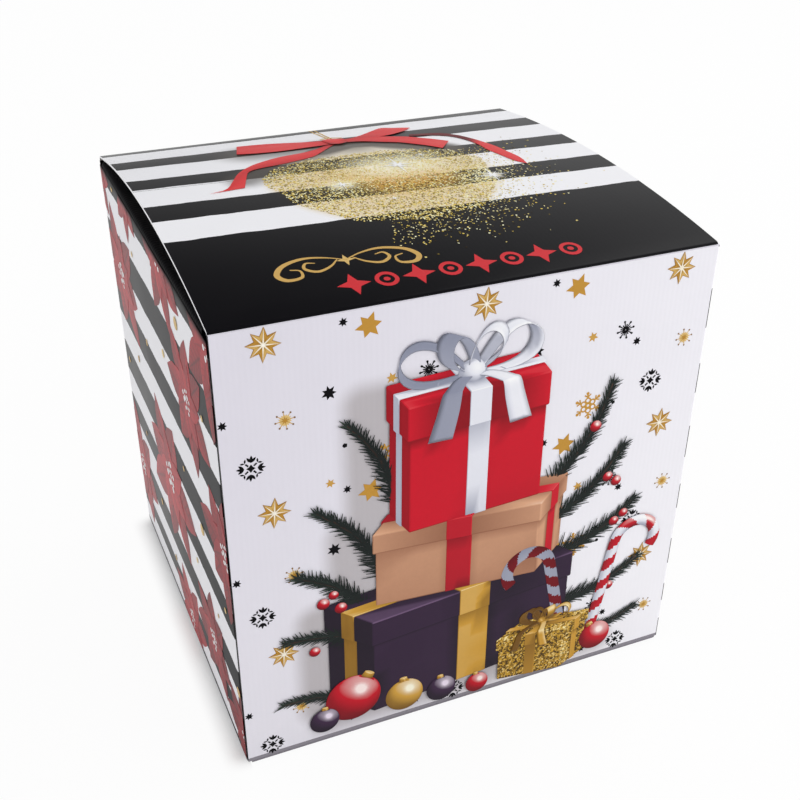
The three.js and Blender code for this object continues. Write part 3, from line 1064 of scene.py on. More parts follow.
@dataclass
class Board:
    """The case itself: walls, lid, flaps and pads."""

    dust_print: float = 17.0
    dust_drop: float = 1.9
    dust_fold: float = 2.5
    dust_lift_share: float = 0.0367
    tuck_lean_share: float = 0.128
    base_strip: float = 9.0

    def dress_all(self) -> None:
        """Gives every board its finish and smooths the folds."""
        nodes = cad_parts
        base_flaps = [name for name in nodes if name.startswith("base_flap")]
        for names, finish in ((["case_walls"], CasePrint()), (["lid_panel"], LidPrint()),
                              (["tuck_flap"], self.tuck_finish()),
                              (["dust_flap_left", "dust_flap_right"], self.dust_finish()),
                              (base_flaps, self.base_finish()),
                              (["base_pad", "layer_pad_1"], self.pad_finish())):
            dress(names, finish.material())
        smooth_folds(node for name, node in nodes.items() if not name.startswith("gift_carton"))

    def tuck_finish(self) -> FlapFinish:
        """Returns the tuck flap's finish: black outside, plain behind."""
        return FlapFinish(
            "tuck_print", BLACK,
            lambda x, y, z: (y + (z - HEIGHT) * self.tuck_lean_share) < LID_LOW.y + BOARD / 2,
            lambda x, y, z: abs(x) < HALF_WIDTH)

    def dust_finish(self) -> FlapFinish:
        """Returns the dust flaps' finish: black near the fold on top, plain beyond."""
        rise = self.dust_lift_share
        return FlapFinish(
            "dust_print", BLACK,
            lambda x, y, z: (z > (abs(x) * -rise + HALF_WIDTH * rise + HEIGHT - self.dust_drop - BOARD / 2)
                             ).most(abs(x) > HALF_WIDTH - self.dust_fold),
            lambda x, y, z: abs(x) > HALF_WIDTH - self.dust_print)

    def base_finish(self) -> FlapFinish:
        """Returns the base flaps' finish: a grey strip of painted shade round the folds, plain beyond."""
        return FlapFinish(
            "base_print", FOOT_SHADE_GREY,
            lambda x, y, z: (z < BOARD / 2).most(abs(x) > HALF_WIDTH - BOARD / 2).most(
                abs(y) > HALF_DEPTH - BOARD / 2),
            lambda x, y, z: (abs(x) > HALF_WIDTH - self.base_strip).most(
                abs(y) > HALF_DEPTH - self.base_strip))

    def pad_finish(self) -> FlapFinish:
        """Returns the pads' finish, which is plain board all over."""
        return FlapFinish("pad_board", RAW_BOARD, lambda x, y, z: x < 0.0, lambda x, y, z: x < 0.0)


@dataclass(frozen=True)
class Crease:
    """A strip of board across a fold, which bends with the joint there.

    Attributes:
        name: The piece's name.
        bodies: The bodies that its first and its last edges follow.
        slot: The material slot that it belongs to.
        low: One end of the fold.
        high: The fold's other end.
        first: The outer and the inner edge where it leaves the first body's board.
        last: The outer and the inner edge where it meets the last body's board.
    """

    name: str
    bodies: tuple[str, str]
    # slot: The material slot that it belongs to; not used.
    slot: str
    low: Vector
    high: Vector
    first: tuple[Vector, Vector]
    last: tuple[Vector, Vector]

    def build(self, outside: Material, inside: Material) -> None:
        """Makes the strip, of which only the inner face is plain, and blends it across its joint."""
        mesh = bmesh.new()
        inner_points = set()
        for outer, inner in (self.first, self.last):
            corners = ((outer, self.low), (outer, self.high), (inner, self.high), (inner, self.low))
            ring = [mesh.verts.new((edge + end) * MM) for edge, end in corners]
            inner_points.update(ring[2:])
            mesh.faces.new(ring)
        bmesh.ops.bridge_loops(mesh, edges=mesh.edges[:])
        bmesh.ops.recalc_face_normals(mesh, faces=mesh.faces[:])
        for face in mesh.faces:
            face.material_index = 1 if set(face.verts) == inner_points else 0
        piece = new_piece(self.name, mesh, [outside, inside])
        start = Vector((0.0, 0.0, self.first[0].z))
        end = Vector((0.0, 0.0, min((edge.z for edge in self.last), key=lambda z: abs(z - start.z))))
        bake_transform(piece, *self.bodies, start=start * MM, end=end * MM)
        LOG.info("%s: bends between %s and %s", self.name, *self.bodies)


@dataclass(frozen=True)
class Creases:
    """The folds at which the lid, the tuck flap and the dust flaps turn.

    Attributes:
        tuck_lean: How far the closed tuck flap leans inwards, in radians.
    """

    tuck_lean: float = 0.1273

    def build(self) -> None:
        """Closes the four folds."""
        finish = Surface(roughness=0.6, specular=0.04)
        materials = []
        for name, colour in (("crease_print", BLACK), ("crease_board", RAW_BOARD)):
            material, graph = new_graph(name)
            finish.shader(graph, colour)
            materials.append(material)
        for crease in (self.lid(), self.tuck(), self.dust(-1), self.dust(1)):
            crease.build(*materials)

    def lid(self) -> Crease:
        """Returns the lid's fold, from the back wall's rim up."""
        first, last = (tuple(Vector((0.0, y, z)) for y in (HALF_DEPTH, HALF_DEPTH - BOARD))
                       for z in (HEIGHT - FOLD - SLIP, HEIGHT - FOLD))
        return Crease("crease_lid", ("case", "lid"), "lid_print", X_AXIS * LID_LOW.x, X_AXIS * LID_HIGH.x,
                      first, last)

    def tuck(self) -> Crease:
        """Returns the tuck flap's fold, from the lid's front fold down to the leaning flap."""
        low, high = (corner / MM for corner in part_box("tuck_flap"))
        first = tuple(Vector((0.0, SEAM_FRONT + y, HEIGHT - FOLD)) for y in (0.0, BOARD))
        inwards, down = sin(self.tuck_lean), cos(self.tuck_lean)
        root = FOLD * down + BOARD * inwards + SLIP
        outer = Vector((0.0, SEAM_FRONT + root * inwards, HEIGHT - root * down))
        inner = outer + Vector((0.0, BOARD * down, BOARD * inwards))
        return Crease("crease_tuck", ("lid", "tuck"), "lid_print", X_AXIS * low.x, X_AXIS * high.x, first,
                      (outer, inner))

    def dust(self, side: int) -> Crease:
        """Returns a dust flap's fold, from the side wall's rim up; side is -1 for the left one."""
        name = "left" if side < 0 else "right"
        low, high = (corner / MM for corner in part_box(f"dust_flap_{name}"))
        first, last = (tuple(Vector((side * x, 0.0, z)) for x in (HALF_WIDTH, HALF_WIDTH - BOARD))
                       for z in (SIDE_TOP, SIDE_TOP + SLIP))
        return Crease(f"crease_dust_{name}", ("case", f"dust_{name}"), "flap_board", Y_AXIS * low.y,
                      Y_AXIS * high.y, first, last)


@dataclass
class FrontPattern:
    """The stars and snowflakes of the front, which repeat in an even tile."""

    start: Point = (-122.5, 289.0)
    pitch: Point = (123.4, -103.0)
    columns: range = range(-1, 3)
    rows: range = range(0, 3)
    margin: float = 1.4
    edge_margin: float = 0.3
    foot_margin: float = 3.1
    low_limit: float = 4.5
    flat_end: float = 147.3
    lean: float = -0.08

    def __post_init__(self) -> None:
        """Starts the four layers of ink."""
        self.gold = PrintLayer("front_gold_stars", FRONT, GOLD_INK, GOLD_RIDGE_INK, GOLD_FLANK_INK)
        self.flanks = PrintLayer("front_gold_star_flanks", FRONT, GOLD_FLANK_INK, GOLD_INK, level=1)
        self.ridges = PrintLayer("front_gold_star_ridges", FRONT, GOLD_RIDGE_INK, level=2)
        self.black = PrintLayer("front_black_stars", FRONT, BLACK_INK)

    def build(self) -> None:
        """Stamps every tile and finishes the layers."""
        motifs = [
            (self.faceted_star, 0.0, 0.0, 10.3), (self.flat_star, 56.3, 0.0, 8.0),
            (self.small_black_star, 42.3, 4.5, 2.8), (self.small_black_star, 33.5, -35.0, 4.6),
            (self.small_gold_star, 69.0, -33.5, 3.6), (self.small_gold_star, 32.5, -92.0, 3.2),
            (self.speck, 41.5, -69.5, 1.6), (self.speck, 87.7, -80.5, 1.4),
            (self.small_black_star, 85.4, -70.3, 3.2), (self.burst_flake, 90.5, -33.0, 5.6),
            (self.small_black_star, 99.2, -42.0, 3.0), (self.arrow_flake, -11.0, -71.0, 8.0),
            (self.dotted_flake, 9.0, -46.0, 5.8), (self.lattice_flake, 70.4, -79.0, 8.8),
        ]
        for column in self.columns:
            for row in self.rows:
                for stamp, right, up, size in motifs:
                    x = self.start[0] + column * self.pitch[0] + right
                    z = self.start[1] + row * self.pitch[1] + up
                    self.stamp(stamp, x, z, size)
        for layer in (self.gold, self.flanks, self.ridges, self.black):
            trim(layer, self.flat_end, HEIGHT - self.margin, self.foot_margin,
                 left=SHEET_EDGE - self.edge_margin)
            layer.finish()

    def stamp(self, motif: Callable[[float, float, float], None], x: float, z: float, size: float) -> None:
        """Stamps a motif unless it would leave the front."""
        if abs(x) + size * 0.3 < HALF_WIDTH - self.margin and self.low_limit < z - size * 0.4:
            motif(x, z, size)

    def faceted_star(self, x: float, z: float, size: float) -> None:
        """Stamps an eight-pointed star of pale ridges between golden flanks."""
        tips = 8
        rim = []
        for step in range(2 * tips):
            reach = size * (0.52 if step % 2 else (1.0, 0.93, 0.94, 0.92)[step // 2 % 4])
            angle = pi / 2 + pi * step / tips + self.lean
            rim.append(Vector((cos(angle), sin(angle), 0)) * reach)
        self.gold.at(x, z).outline(rim, 0.5, 2)
        self.flanks.at(x, z)
        for step in range(2 * tips):
            notch = rim[step] if step % 2 else rim[(step + 1) % (2 * tips)]
            tip = rim[(step + 1) % (2 * tips)] if step % 2 else rim[step]
            corners = [notch * 0.1 + tip * 0.06, tip * 0.9 + notch * 0.06, notch * 0.9]
            self.flanks.outline(corners, 0.62 if step % 4 in (0, 1) else 0.4, 1)
            if step % 2 == 0:
                side = tip.normalized().cross(Z_AXIS) * size * 0.062
                self.ridges.at(x, z).outline([side * 0.8, tip * 0.94, -side * 0.8], 0.78, 0)
        self.ridges.disc(0, 0, size * 0.08, 0.9, 0, 8)

    def flat_star(self, x: float, z: float, size: float) -> None:
        """Stamps a flat gold star with six uneven points."""
        self.gold.at(x, z, -0.36).outline(star_rim(6, size, 0.5, 0.1), 0.46, 0)

    def small_gold_star(self, x: float, z: float, size: float) -> None:
        """Stamps a small gold star."""
        self.gold.at(x, z, 0.3).outline(star_rim(6, size, 0.46, 0.08), 0.55, 0)

    def small_black_star(self, x: float, z: float, size: float) -> None:
        """Stamps a black star with seven points."""
        self.black.at(x, z, 0.2).outline(star_rim(7, size, 0.5, 0.1))

    def speck(self, x: float, z: float, size: float) -> None:
        """Stamps a small black lozenge."""
        self.black.at(x, z, 0.3).disc(0, 0, size, sides=5)

    def burst_flake(self, x: float, z: float, size: float) -> None:
        """Stamps a black snowflake of club-headed spokes, long and short."""
        self.black.at(x, z, 0.2)
        self.black.ring(0, size * 0.4, size * 0.2, sides=12)
        for step in range(16):
            self.black.at(x, z, 0.2 + pi * step / 8)
            reach = size * (0.58 if step % 2 else 0.94)
            self.black.stroke((0, size * 0.05), (0, reach), size * 0.08, end_width=size * 0.15)
            self.black.disc(0, reach, size * (0.08 if step % 2 else 0.13), sides=8)

    def arrow_flake(self, x: float, z: float, size: float) -> None:
        """Stamps a black snowflake of eight sprigs round a star with four dashes."""
        self.black.at(x, z, self.lean).outline(star_rim(4, size * 0.32, 0.58, 0.0))
        for step in range(4):
            turn = pi * step / 2 + self.lean
            self.sprig(x, z, turn, size * 0.46, (-0.66, 0.0, 0.66), size * 0.55)
            turn += pi / 4
            self.black.at(x, z, turn).stroke((0, size * 0.27), (0, size * 0.54), size * 0.12)
            self.sprig(x, z, turn, size * 0.62, (-0.85, 0.85), size * 0.36)

    def sprig(self, x: float, z: float, turn: float, foot: float, leans: Sequence[float],
              length: float) -> None:
        """Fans short leaves out of a foot that lies away from a flake's middle."""
        ahead = Vector((-sin(turn), cos(turn))) * foot
        for lean in leans:
            self.black.at(x + ahead.x, z + ahead.y, turn + lean)
            self.black.leaf(length * (1 - 0.1 * abs(lean)), length * 0.36, 0.4, fullness=1.0)

    def dotted_flake(self, x: float, z: float, size: float) -> None:
        """Stamps a fine gold snowflake of many rays, eight of which end in dark dots."""
        self.gold.at(x, z, 0.15).outline(star_rim(16, size * 0.76, 0.62, 0.14), 0.74, 0)
        self.flanks.at(x, z, 0.15).outline(star_rim(8, size * 0.42, 0.4, 0.0), 0.85, 0)
        for step in range(8):
            self.gold.at(x, z, 0.15 + pi * step / 4)
            self.gold.stroke((0, size * 0.2), (0, size * 0.88), size * 0.07, 0.6)
            self.gold.disc(0, size * 0.92, size * 0.1, 0.05, 2, 6)

    def lattice_flake(self, x: float, z: float, size: float) -> None:
        """Stamps a gold snowflake of seven rings with six branched arms."""
        self.gold.at(x, z, 0.1).ring(0, size * 0.2, size * 0.1)
        for step in range(6):
            angle = pi * step / 3
            self.gold.at(x, z, 0.1 + angle)
            self.gold.ring(size * 0.4, size * 0.24, size * 0.11, sides=14)
            self.gold.stroke((0, size * 0.6), (0, size * 0.92), size * 0.12)
            self.gold.disc(0, size * 0.96, size * 0.12, sides=8)
            for side in (-1, 1):
                self.gold.stroke((0, size * 0.66), (side * size * 0.24, size * 0.86), size * 0.1)


def star_rim(points: int, reach: float, waist: float, unevenness: float) -> list[Vector]:
    """Draws a star's outline.

    Args:
        points: How many points it has.
        reach: How far they reach.
        waist: The notches' distance from the middle, as a share of the reach.
        unevenness: By which share every other point is shorter.

    Returns:
        The outline's corners, in order.
    """
    rim = []
    for step in range(2 * points):
        length = reach * (waist if step % 2 else 1 - unevenness * (step % 4 == 2))
        angle = pi / 2 + pi * step / points
        rim.append(Vector((cos(angle), sin(angle), 0)) * length)
    return rim


@dataclass
class Poinsettias:
    """The flowers and gold dots printed on a striped wall."""

    wall: Wall
    mirrored: bool = False
    petals: int = 7
    seeds: int = 12
    back_margin: float = 3.4
    side_margin: float = 0.4
    heart_margin: float = 4.0
    overhang: float = 12.0
    flowers: tuple[tuple[float, float, float, float], ...] = (
        (106, 228, 50, 0.2), (-29, 296, 44, 0.0), (-137, 290, 52, 0.5), (-73, 226, 45, 0.8),
        (11, 123, 62, 0.35), (126, 62, 50, 0.0), (-133, 159, 48, 0.6), (-77, 52, 42, 0.1),
        (-8, 14, 40, 0.4), (-141, 22, 40, 0.9), (146, 290, 34, 0.2), (62, 300, 30, 0.5),
    )
    dots: tuple[tuple[float, float, float], ...] = (
        (101, 291, 3.8), (-65, 271, 5.0), (-16, 228, 3.6), (38, 209, 3.0), (123, 154, 3.0), (-109, 235, 2.6),
        (60, 69, 3.4), (-77, 139, 5.0), (-98, 88, 2.0), (-134, 57, 4.6), (53, 264, 2.4), (80, 176, 3.2),
        (-40, 160, 2.4), (-120, 110, 2.6), (30, 40, 3.0), (90, 110, 2.4), (-50, 96, 2.6),
    )

    def build(self) -> None:
        """Prints the petals, their white hearts and the dots."""
        draw = random.Random(self.wall.value)
        name = self.wall.value
        panel = self.wall.panel
        petals = PrintLayer(f"{name}_poinsettias", panel, PETAL_INK)
        inner = PrintLayer(f"{name}_poinsettia_bracts", panel, PETAL_INK, level=1)
        hearts = PrintLayer(f"{name}_poinsettia_hearts", panel, WHITE_INK, GOLD_INK, level=2)
        sign = panel.right.dot(Vector((1, 1, 0))) * (-1 if self.mirrored else 1)
        for flower, (along, up, size, turn) in enumerate(self.flowers):
            right = along * sign
            if not self.inside(right, up):
                continue
            height = (flower % 4) * 0.03
            for step in range(self.petals):
                angle = turn + 2 * pi * step / self.petals + draw.uniform(-0.16, 0.16)
                length = size * draw.uniform(0.84, 1.12)
                petals.at(right, up, angle, height)
                petals.leaf(length, size * 0.48, draw.uniform(0.4, 0.56), fullness=1.1, bend=size * 0.05)
                inner.at(right, up, angle + pi / self.petals, height)
                inner.leaf(length * 0.62, size * 0.36, draw.uniform(0.5, 0.68), bend=size * -0.04)
            for step in range(self.seeds):
                angle = step * 2.4
                reach = size * 0.18 * sqrt((step + draw.random()) / self.seeds)
                hearts.at(right, up, 0, height)
                hearts.disc(cos(angle) * reach, sin(angle) * reach,
                            size * draw.uniform(0.027, 0.042), 0.9, 0, 7)
        for along, up, size in self.dots:
            right = along * sign
            hearts.at(right, up).disc(0, 0, size * 0.78, draw.uniform(0.5, 0.9), 1, 14)
        top = HEIGHT - self.back_margin if self.wall is Wall.BACK else SIDE_TOP - self.side_margin
        for layer, lower in ((petals, 0.0), (inner, 0.0), (hearts, self.heart_margin)):
            trim(layer, self.half_length, top - lower)
            layer.finish()

    @property
    def half_length(self) -> float:
        """Half the flat length of the wall, between its folds."""
        return (HALF_WIDTH if self.wall is Wall.BACK else HALF_DEPTH) - FOLD

    def inside(self, right: float, up: float) -> bool:
        """Tells whether a flower's heart lies near enough to the wall to show."""
        return abs(right) < self.half_length + self.overhang and -10 < up < HEIGHT + self.overhang


def trim(layer: PrintLayer, right: float, top: float, foot: float = 3.2, left: float = 0.0) -> None:
    """Cuts a layer's shapes off at its panel's edges; left is as far as right unless given."""
    for place, normal in (((right, 0, 0), (1, 0, 0)), ((-(left or right), 0, 0), (-1, 0, 0)),
                          ((0, top, 0), (0, 1, 0)), ((0, foot, 0), (0, -1, 0))):
        geometry = layer.mesh.verts[:] + layer.mesh.edges[:] + layer.mesh.faces[:]
        bmesh.ops.bisect_plane(layer.mesh, geom=geometry, plane_co=place, plane_no=normal, clear_outer=True)


@dataclass
class LidArt:
    """The glitter bauble on the lid, its ribbon bow, and the ornaments in front of it."""

    centre: Point = (2.0, 3.0)
    radius: float = 68.0
    flakes: int = 13500
    dust: int = 1150
    dust_end: float = -106.0
    top: float = 49.0
    top_reach: float = 84.0
    glints: tuple[tuple[float, float, float], ...] = (
        (15.8, 18.8, 19), (64.7, -17.3, 15), (-29.9, -4.8, 10), (38, 34, 5), (-8, -34, 5))
    margin: Point = (3.0, 4.0)
    first_ornament: Point = (-66.0, -119.0)
    ornaments: int = 8
    ornament_step: float = 18.4
    seed: int = 7

    def build(self) -> None:
        """Prints the layers from the lowest up."""
        self.glitter()
        self.bow()
        self.sparkles()
        self.flourish()

    def glitter(self) -> None:
        """Scatters gold flakes over the bauble, and dust that falls from it to the right."""
        layer = PrintLayer("lid_bauble_glitter", LID_TOP, FLAKE_INK)
        draw = random.Random(self.seed)
        for _ in range(self.flakes):
            angle = draw.uniform(0, 2 * pi)
            share = sqrt(draw.random())
            bump = 1 + 0.02 * sin(5 * angle) + 0.02 * sin(11 * angle)
            place = Vector((cos(angle), sin(angle))) * self.radius * share * bump
            place.x *= 1.09 if place.x < 0 else 1.0
            if place.y < self.top * sqrt(1 - (place.x / self.top_reach) ** 2) + draw.gauss(0, 1.5):
                self.flake(layer, draw, place + Vector(self.centre), 0.35, 1.0 - 0.25 * (1 - share))
        for _ in range(self.dust):
            angle = draw.uniform(-1.9, 0.5)
            spread = abs(draw.gauss(0, 0.26))
            reach = self.radius * (0.97 + spread)
            place = Vector((cos(angle) * 1.06, sin(angle))) * reach + Vector(self.centre)
            if place.y > self.dust_end:
                self.flake(layer, draw, place, 0.32, 0.74 + 0.5 * spread)
        trim(layer, HALF_WIDTH - self.margin[0], HALF_DEPTH - self.margin[1], self.margin[1] - HALF_DEPTH)
        layer.finish()

    def flake(self, layer: PrintLayer, draw: random.Random, place: Vector, low: float, high: float) -> None:
        """Adds one flake of a random size, turn, height and tone."""
        layer.at(place.x, place.y, draw.uniform(0, pi), draw.uniform(0, 0.05))
        on_white = sum(place.y > edge for edge in LidPrint.stripe_edges) % 2
        tone = max(draw.choice((0.0, 0.08, 0.35, 0.5, 0.62, 0.8, 1.0)), 0.18 * on_white)
        for x, y, reach in self.glints[:3]:
            away = Vector(((place.x - x) * 0.7, place.y - y)).length
            tone += 0.55 * exp(-(away / reach) ** 2)
        size = draw.uniform(low, high)
        layer.outline([(size, 0), (0, size * draw.uniform(0.5, 1)), (-size * draw.uniform(0.6, 1), 0),
                       (0, -size * draw.uniform(0.5, 1))], min(tone, 1.0))

    def bow(self) -> None:
        """Prints the cord and the ribbon, each part between its two edges."""
        cord = PrintLayer("lid_bauble_cord", LID_TOP, GOLD_INK, level=1)
        for number, line in enumerate((((-3, 137), (-3.2, 120.7), (-2.4, 98)),
                                       ((0.4, 137), (-0.4, 119), (-0.3, 98)))):
            cord.at(0, 0, 0, 0.01 * number)
            cord.band(smooth_line(line), lambda t: 1.1, lambda t, place: 0.62 + 0.2 * place)
        cord.finish()
        under = PrintLayer("lid_ribbon_tails", LID_TOP, RIBBON_INK, level=2)
        under.between(
            ((-7, 82), (-20.9, 71.5), (-33, 66.2), (-47.7, 62.4), (-65.3, 53.5), (-76.2, 43.9),
             (-83.7, 34.3), (-90.5, 21.1), (-97.6, 9.2), (-108.4, 5.3)),
            ((-4, 80), (-12.3, 71.2), (-26.2, 56.1), (-38.3, 50.2), (-53.1, 45.2), (-67.1, 41.9),
             (-75.8, 36.8), (-81.5, 22.8), (-86.4, 8.5)),
            lambda t, side: 0.5 - 0.34 * exp(-9 * t) + 0.1 * sin(7 * t + side) - 0.05 * side)
        under.at(0, 0, 0, 0.02)
        under.between(
            ((52, 85), (71.2, 79.9), (80, 70.2), (85.5, 58.1), (89.2, 46.3), (92.4, 34.1), (94.6, 20.2),
             (96.7, 6.8), (95.5, -5.7)),
            ((50, 80), (68.2, 73.3), (77, 63.9), (81.1, 52.9), (83.6, 40.6), (83.9, 28.1), (86.7, 15.6),
             (90, 2.7), (95, -5.2)),
            lambda t, side: 0.04 if t < 0.42 else min(0.56, 0.04 + 5 * (t - 0.42)) - 0.06 * side)
        under.finish()
        loops = PrintLayer("lid_ribbon_loops", LID_TOP, RIBBON_INK, level=4)
        loops.between(
            ((-3, 92), (-17.1, 94.2), (-36.1, 99.9), (-52.2, 103.8), (-64.5, 105)),
            ((-6, 80), (-20, 78.9), (-43.2, 76.5), (-59.7, 77.9), (-71, 81)),
            lambda t, side: 0.58 - 0.42 * exp(-11 * t) - 0.06 * abs(side) + 0.04 * sin(4 * t))
        loops.at(0, 0, 0, 0.02)
        loops.between(
            ((2, 89), (12, 91), (27.8, 102), (41.8, 113.2), (51.2, 108.2), (60.7, 103.5)),
            ((6, 85), (14, 84), (24, 86), (33, 87), (43, 90), (52, 95)),
            lambda t, side: 0.2 + 0.42 * t ** 0.6 - 0.05 * side)
        loops.at(0, 0, 0, 0.04)
        loops.between(
            ((-2, 90), (13.8, 90), (30.9, 86.5), (46.1, 78.6), (59.2, 66), (68.4, 55.6)),
            ((-4, 80.5), (10.8, 80), (25.4, 72), (37.1, 64.5), (48.2, 53), (57.3, 41)),
            lambda t, side: 0.3 + 0.34 * t ** 0.5 - 0.08 * abs(side) - 0.04 * side)
        loops.finish()
        knot = PrintLayer("lid_ribbon_knot", LID_TOP, RIBBON_INK, GOLD_INK, level=6)
        knot.between(((-9, 92), (-3, 95), (6, 91)), ((-7, 80), (-1, 78), (6, 81)),
                     lambda t, side: 0.34 + 0.2 * sin(pi * t) - 0.16 * side, 0, 8)
        knot.at(0, 0, 0, 0.02)
        knot.band(smooth_line(((-9, 95.5), (-2, 97.6), (6, 94))), lambda t: 2.2,
                  lambda t, place: 0.62 + 0.2 * place, 1)
        knot.finish()

    def sparkles(self) -> None:
        """Prints the bright glints."""
        layer = PrintLayer("lid_bauble_glints", LID_TOP, WHITE_INK, level=2)
        for x, y, size in self.glints:
            for number, (turn, reach, waist) in enumerate(((0.0, 1.0, 0.06), (pi / 4, 0.6, 0.08),
                                                           (pi / 8, 0.34, 0.3))):
                layer.at(x, y, turn, 0.01 * number)
                layer.outline(star_rim(4, size * reach, waist, 0.2), 0.97)
        layer.finish()

    def flourish(self) -> None:
        """Prints a gold scroll, and a row of small red ornaments along the lid's front."""
        gold = PrintLayer("lid_gold_scroll", LID_TOP, GOLD_INK)
        middle = (-62.0, -96.0)
        scroll = ((0, 0), (10, 5), (22, 7), (34, 3), (40, -5), (36, -11), (28, -10), (27, -4), (32, -2))
        curl = ((4, 2), (10, -4), (18, -7), (24, -3), (22, 2), (17, 1))
        for side in (-1, 1):
            for points, thin, more, power in ((scroll, 0.8, 2.4, 2), (curl, 0.6, 1.4, 1)):
                line = smooth_line([(middle[0] + side * x, middle[1] + y) for x, y in points], 8)
                gold.band(line, lambda t: thin + more * sin(pi * t) ** power, lambda t, place: 0.62)
        gold.at(*middle).outline(star_rim(4, 5.5, 0.35, 0.0), 0.7)
        gold.finish()
        red = PrintLayer("lid_red_ornaments", LID_TOP, RED_INK)
        for index in range(self.ornaments):
            red.at(self.first_ornament[0] + index * self.ornament_step, self.first_ornament[1])
            if index % 2:
                red.ring(0, 6.6, 2.4, 0.62)
                red.disc(0, 0, 1.9, 0.62)
            else:
                red.outline(star_rim(4, 9.5, 0.42, 0.0), 0.62)
        red.finish()


@dataclass(frozen=True)
class PictureInk(Ink):
    """Ink of a thing in the front's picture.

    Attributes:
        shine: How strong its highlight is.
        polish: How small its highlight is.
    """

    shine: float = 0.2
    polish: float = 12.0


@dataclass(frozen=True)
class PictureGlitter(PictureInk):
    """Picture ink for glitter paper: small cells of differing tone."""

    cells: float = 0.9
    strength: float = 0.9

    def pattern(self, graph: Graph) -> "Number":
        """Returns a random step of tone for each cell."""
        feeds = {"Vector": graph.vector(*graph.place()), "Scale": self.cells}
        cells = graph.node("ShaderNodeTexVoronoi", feeds, feature="F1")
        parts = graph.node("ShaderNodeSeparateColor", {0: cells.outputs["Color"]})
        return (Signal(graph, parts.outputs[0]) - 0.5) * self.strength


def picture_ink(name: str, *tones: tuple[int, int, int], kind: type[PictureInk] = PictureInk,
                **values: float) -> PictureInk:
    """Makes an ink of the picture.

    Args:
        name: The material's name.
        tones: Its shade, body and glint as they look on a screen.
        kind: The kind of ink.
        values: Its mottle, shine and polish.

    Returns:
        The ink.
    """
    return kind(name, *(ink(*tone) for tone in tones), GLOSS, **values)


PLUM_PAPER = picture_ink("plum_paper_ink", (14, 8, 18), (48, 28, 54), (142, 112, 150), mottle=0.2, shine=0.3)
KRAFT_PAPER = picture_ink("kraft_paper_ink", (128, 76, 54), (216, 164, 130), (250, 226, 204), mottle=0.1,
                          shine=0.15)
RED_PAPER = picture_ink("red_paper_ink", (120, 4, 18), (206, 16, 40), (240, 90, 96), mottle=0.1)
GLITTER_PAPER = picture_ink("glitter_paper_ink", (70, 48, 10), (206, 160, 52), (255, 244, 184), mottle=0.1,
                            shine=0.3, kind=PictureGlitter)
WHITE_SATIN = picture_ink("white_satin_ink", (136, 140, 160), (228, 229, 238), (255, 255, 255), mottle=0.03,
                          shine=0.4, polish=6)
RED_SATIN = picture_ink("red_satin_ink", (98, 2, 16), (206, 24, 44), (250, 130, 128), shine=0.5, polish=8)
GOLD_SATIN = picture_ink("gold_satin_ink", (96, 62, 12), (204, 154, 58), (255, 240, 188), mottle=0.08,
                         shine=0.6, polish=8)
RED_GLASS = picture_ink("red_glass_ink", (84, 0, 12), (196, 14, 36), (255, 236, 232), mottle=0.03, shine=1.3,
                        polish=40)
GOLD_GLASS = picture_ink("gold_glass_ink", (92, 60, 14), (208, 160, 66), (255, 250, 226), mottle=0.03,
                         shine=1.2, polish=34)
PLUM_GLASS = picture_ink("plum_glass_ink", (12, 6, 16), (58, 34, 64), (236, 224, 240), mottle=0.03, shine=1.2,
                         polish=34)
FIR_NEEDLE = picture_ink("fir_needle_ink", (10, 16, 16), (34, 48, 42), (120, 138, 116), mottle=0.3,
                         shine=0.15)
FIR_STEM = picture_ink("fir_stem_ink", (26, 16, 12), (74, 50, 38), (140, 108, 84), mottle=0.2)


def bevel_sharp(mesh: Mesh, offset: float, angle: float = 0.6) -> None:
    """Rounds a shape's sharp edges."""
    edges = [edge for edge in mesh.edges if edge.is_manifold and edge.calc_face_angle() > angle]
    bmesh.ops.bevel(mesh, geom=edges, affect="EDGES", offset=offset, segments=2, profile=0.5, material=-1,
                    clamp_overlap=True)


def block(width: float, height: float, depth: float, cell: float = 7.0, rounding: float = 0.9
          ) -> Mesh:
    """Makes a box that stands on its base, divided into cells.

    Args:
        width, height, depth: Its size.
        cell: About how large its cells are.
        rounding: How far its edges are rounded.

    Returns:
        The box.
    """
    mesh = bmesh.new()
    bmesh.ops.create_cube(mesh, size=1)
    bmesh.ops.subdivide_edges(mesh, edges=mesh.edges[:], cuts=max(int(min(width, height) / cell), 1),
                              use_grid_fill=True)
    bmesh.ops.transform(mesh, verts=mesh.verts[:],
                        matrix=move((0, height / 2, 0))
                        @ Matrix.Diagonal((width, height, depth, 1)))
    bevel_sharp(mesh, rounding)
    return mesh


def ball(radius: float, around: int, up: int) -> Mesh:
    """Makes a smooth ball."""
    mesh = bmesh.new()
    bmesh.ops.create_uvsphere(mesh, u_segments=around, v_segments=up, radius=radius)
    for face in mesh.faces:
        face.smooth = True
    return mesh


def swept(rows: Sequence[tuple[Vector, Vector]], thickness: float = 0.7, lanes: int = 3) -> Mesh:
    """Makes a strip from its two edges, row by row, and gives it a thickness."""
    mesh = bmesh.new()
    weave(mesh, [[mesh.verts.new(start.lerp(end, lane / lanes)) for lane in range(lanes + 1)]
                 for start, end in rows])
    bmesh.ops.recalc_face_normals(mesh, faces=mesh.faces[:])
    bmesh.ops.solidify(mesh, geom=mesh.faces[:], thickness=thickness)
    for face in mesh.faces:
        face.smooth = True
    return mesh


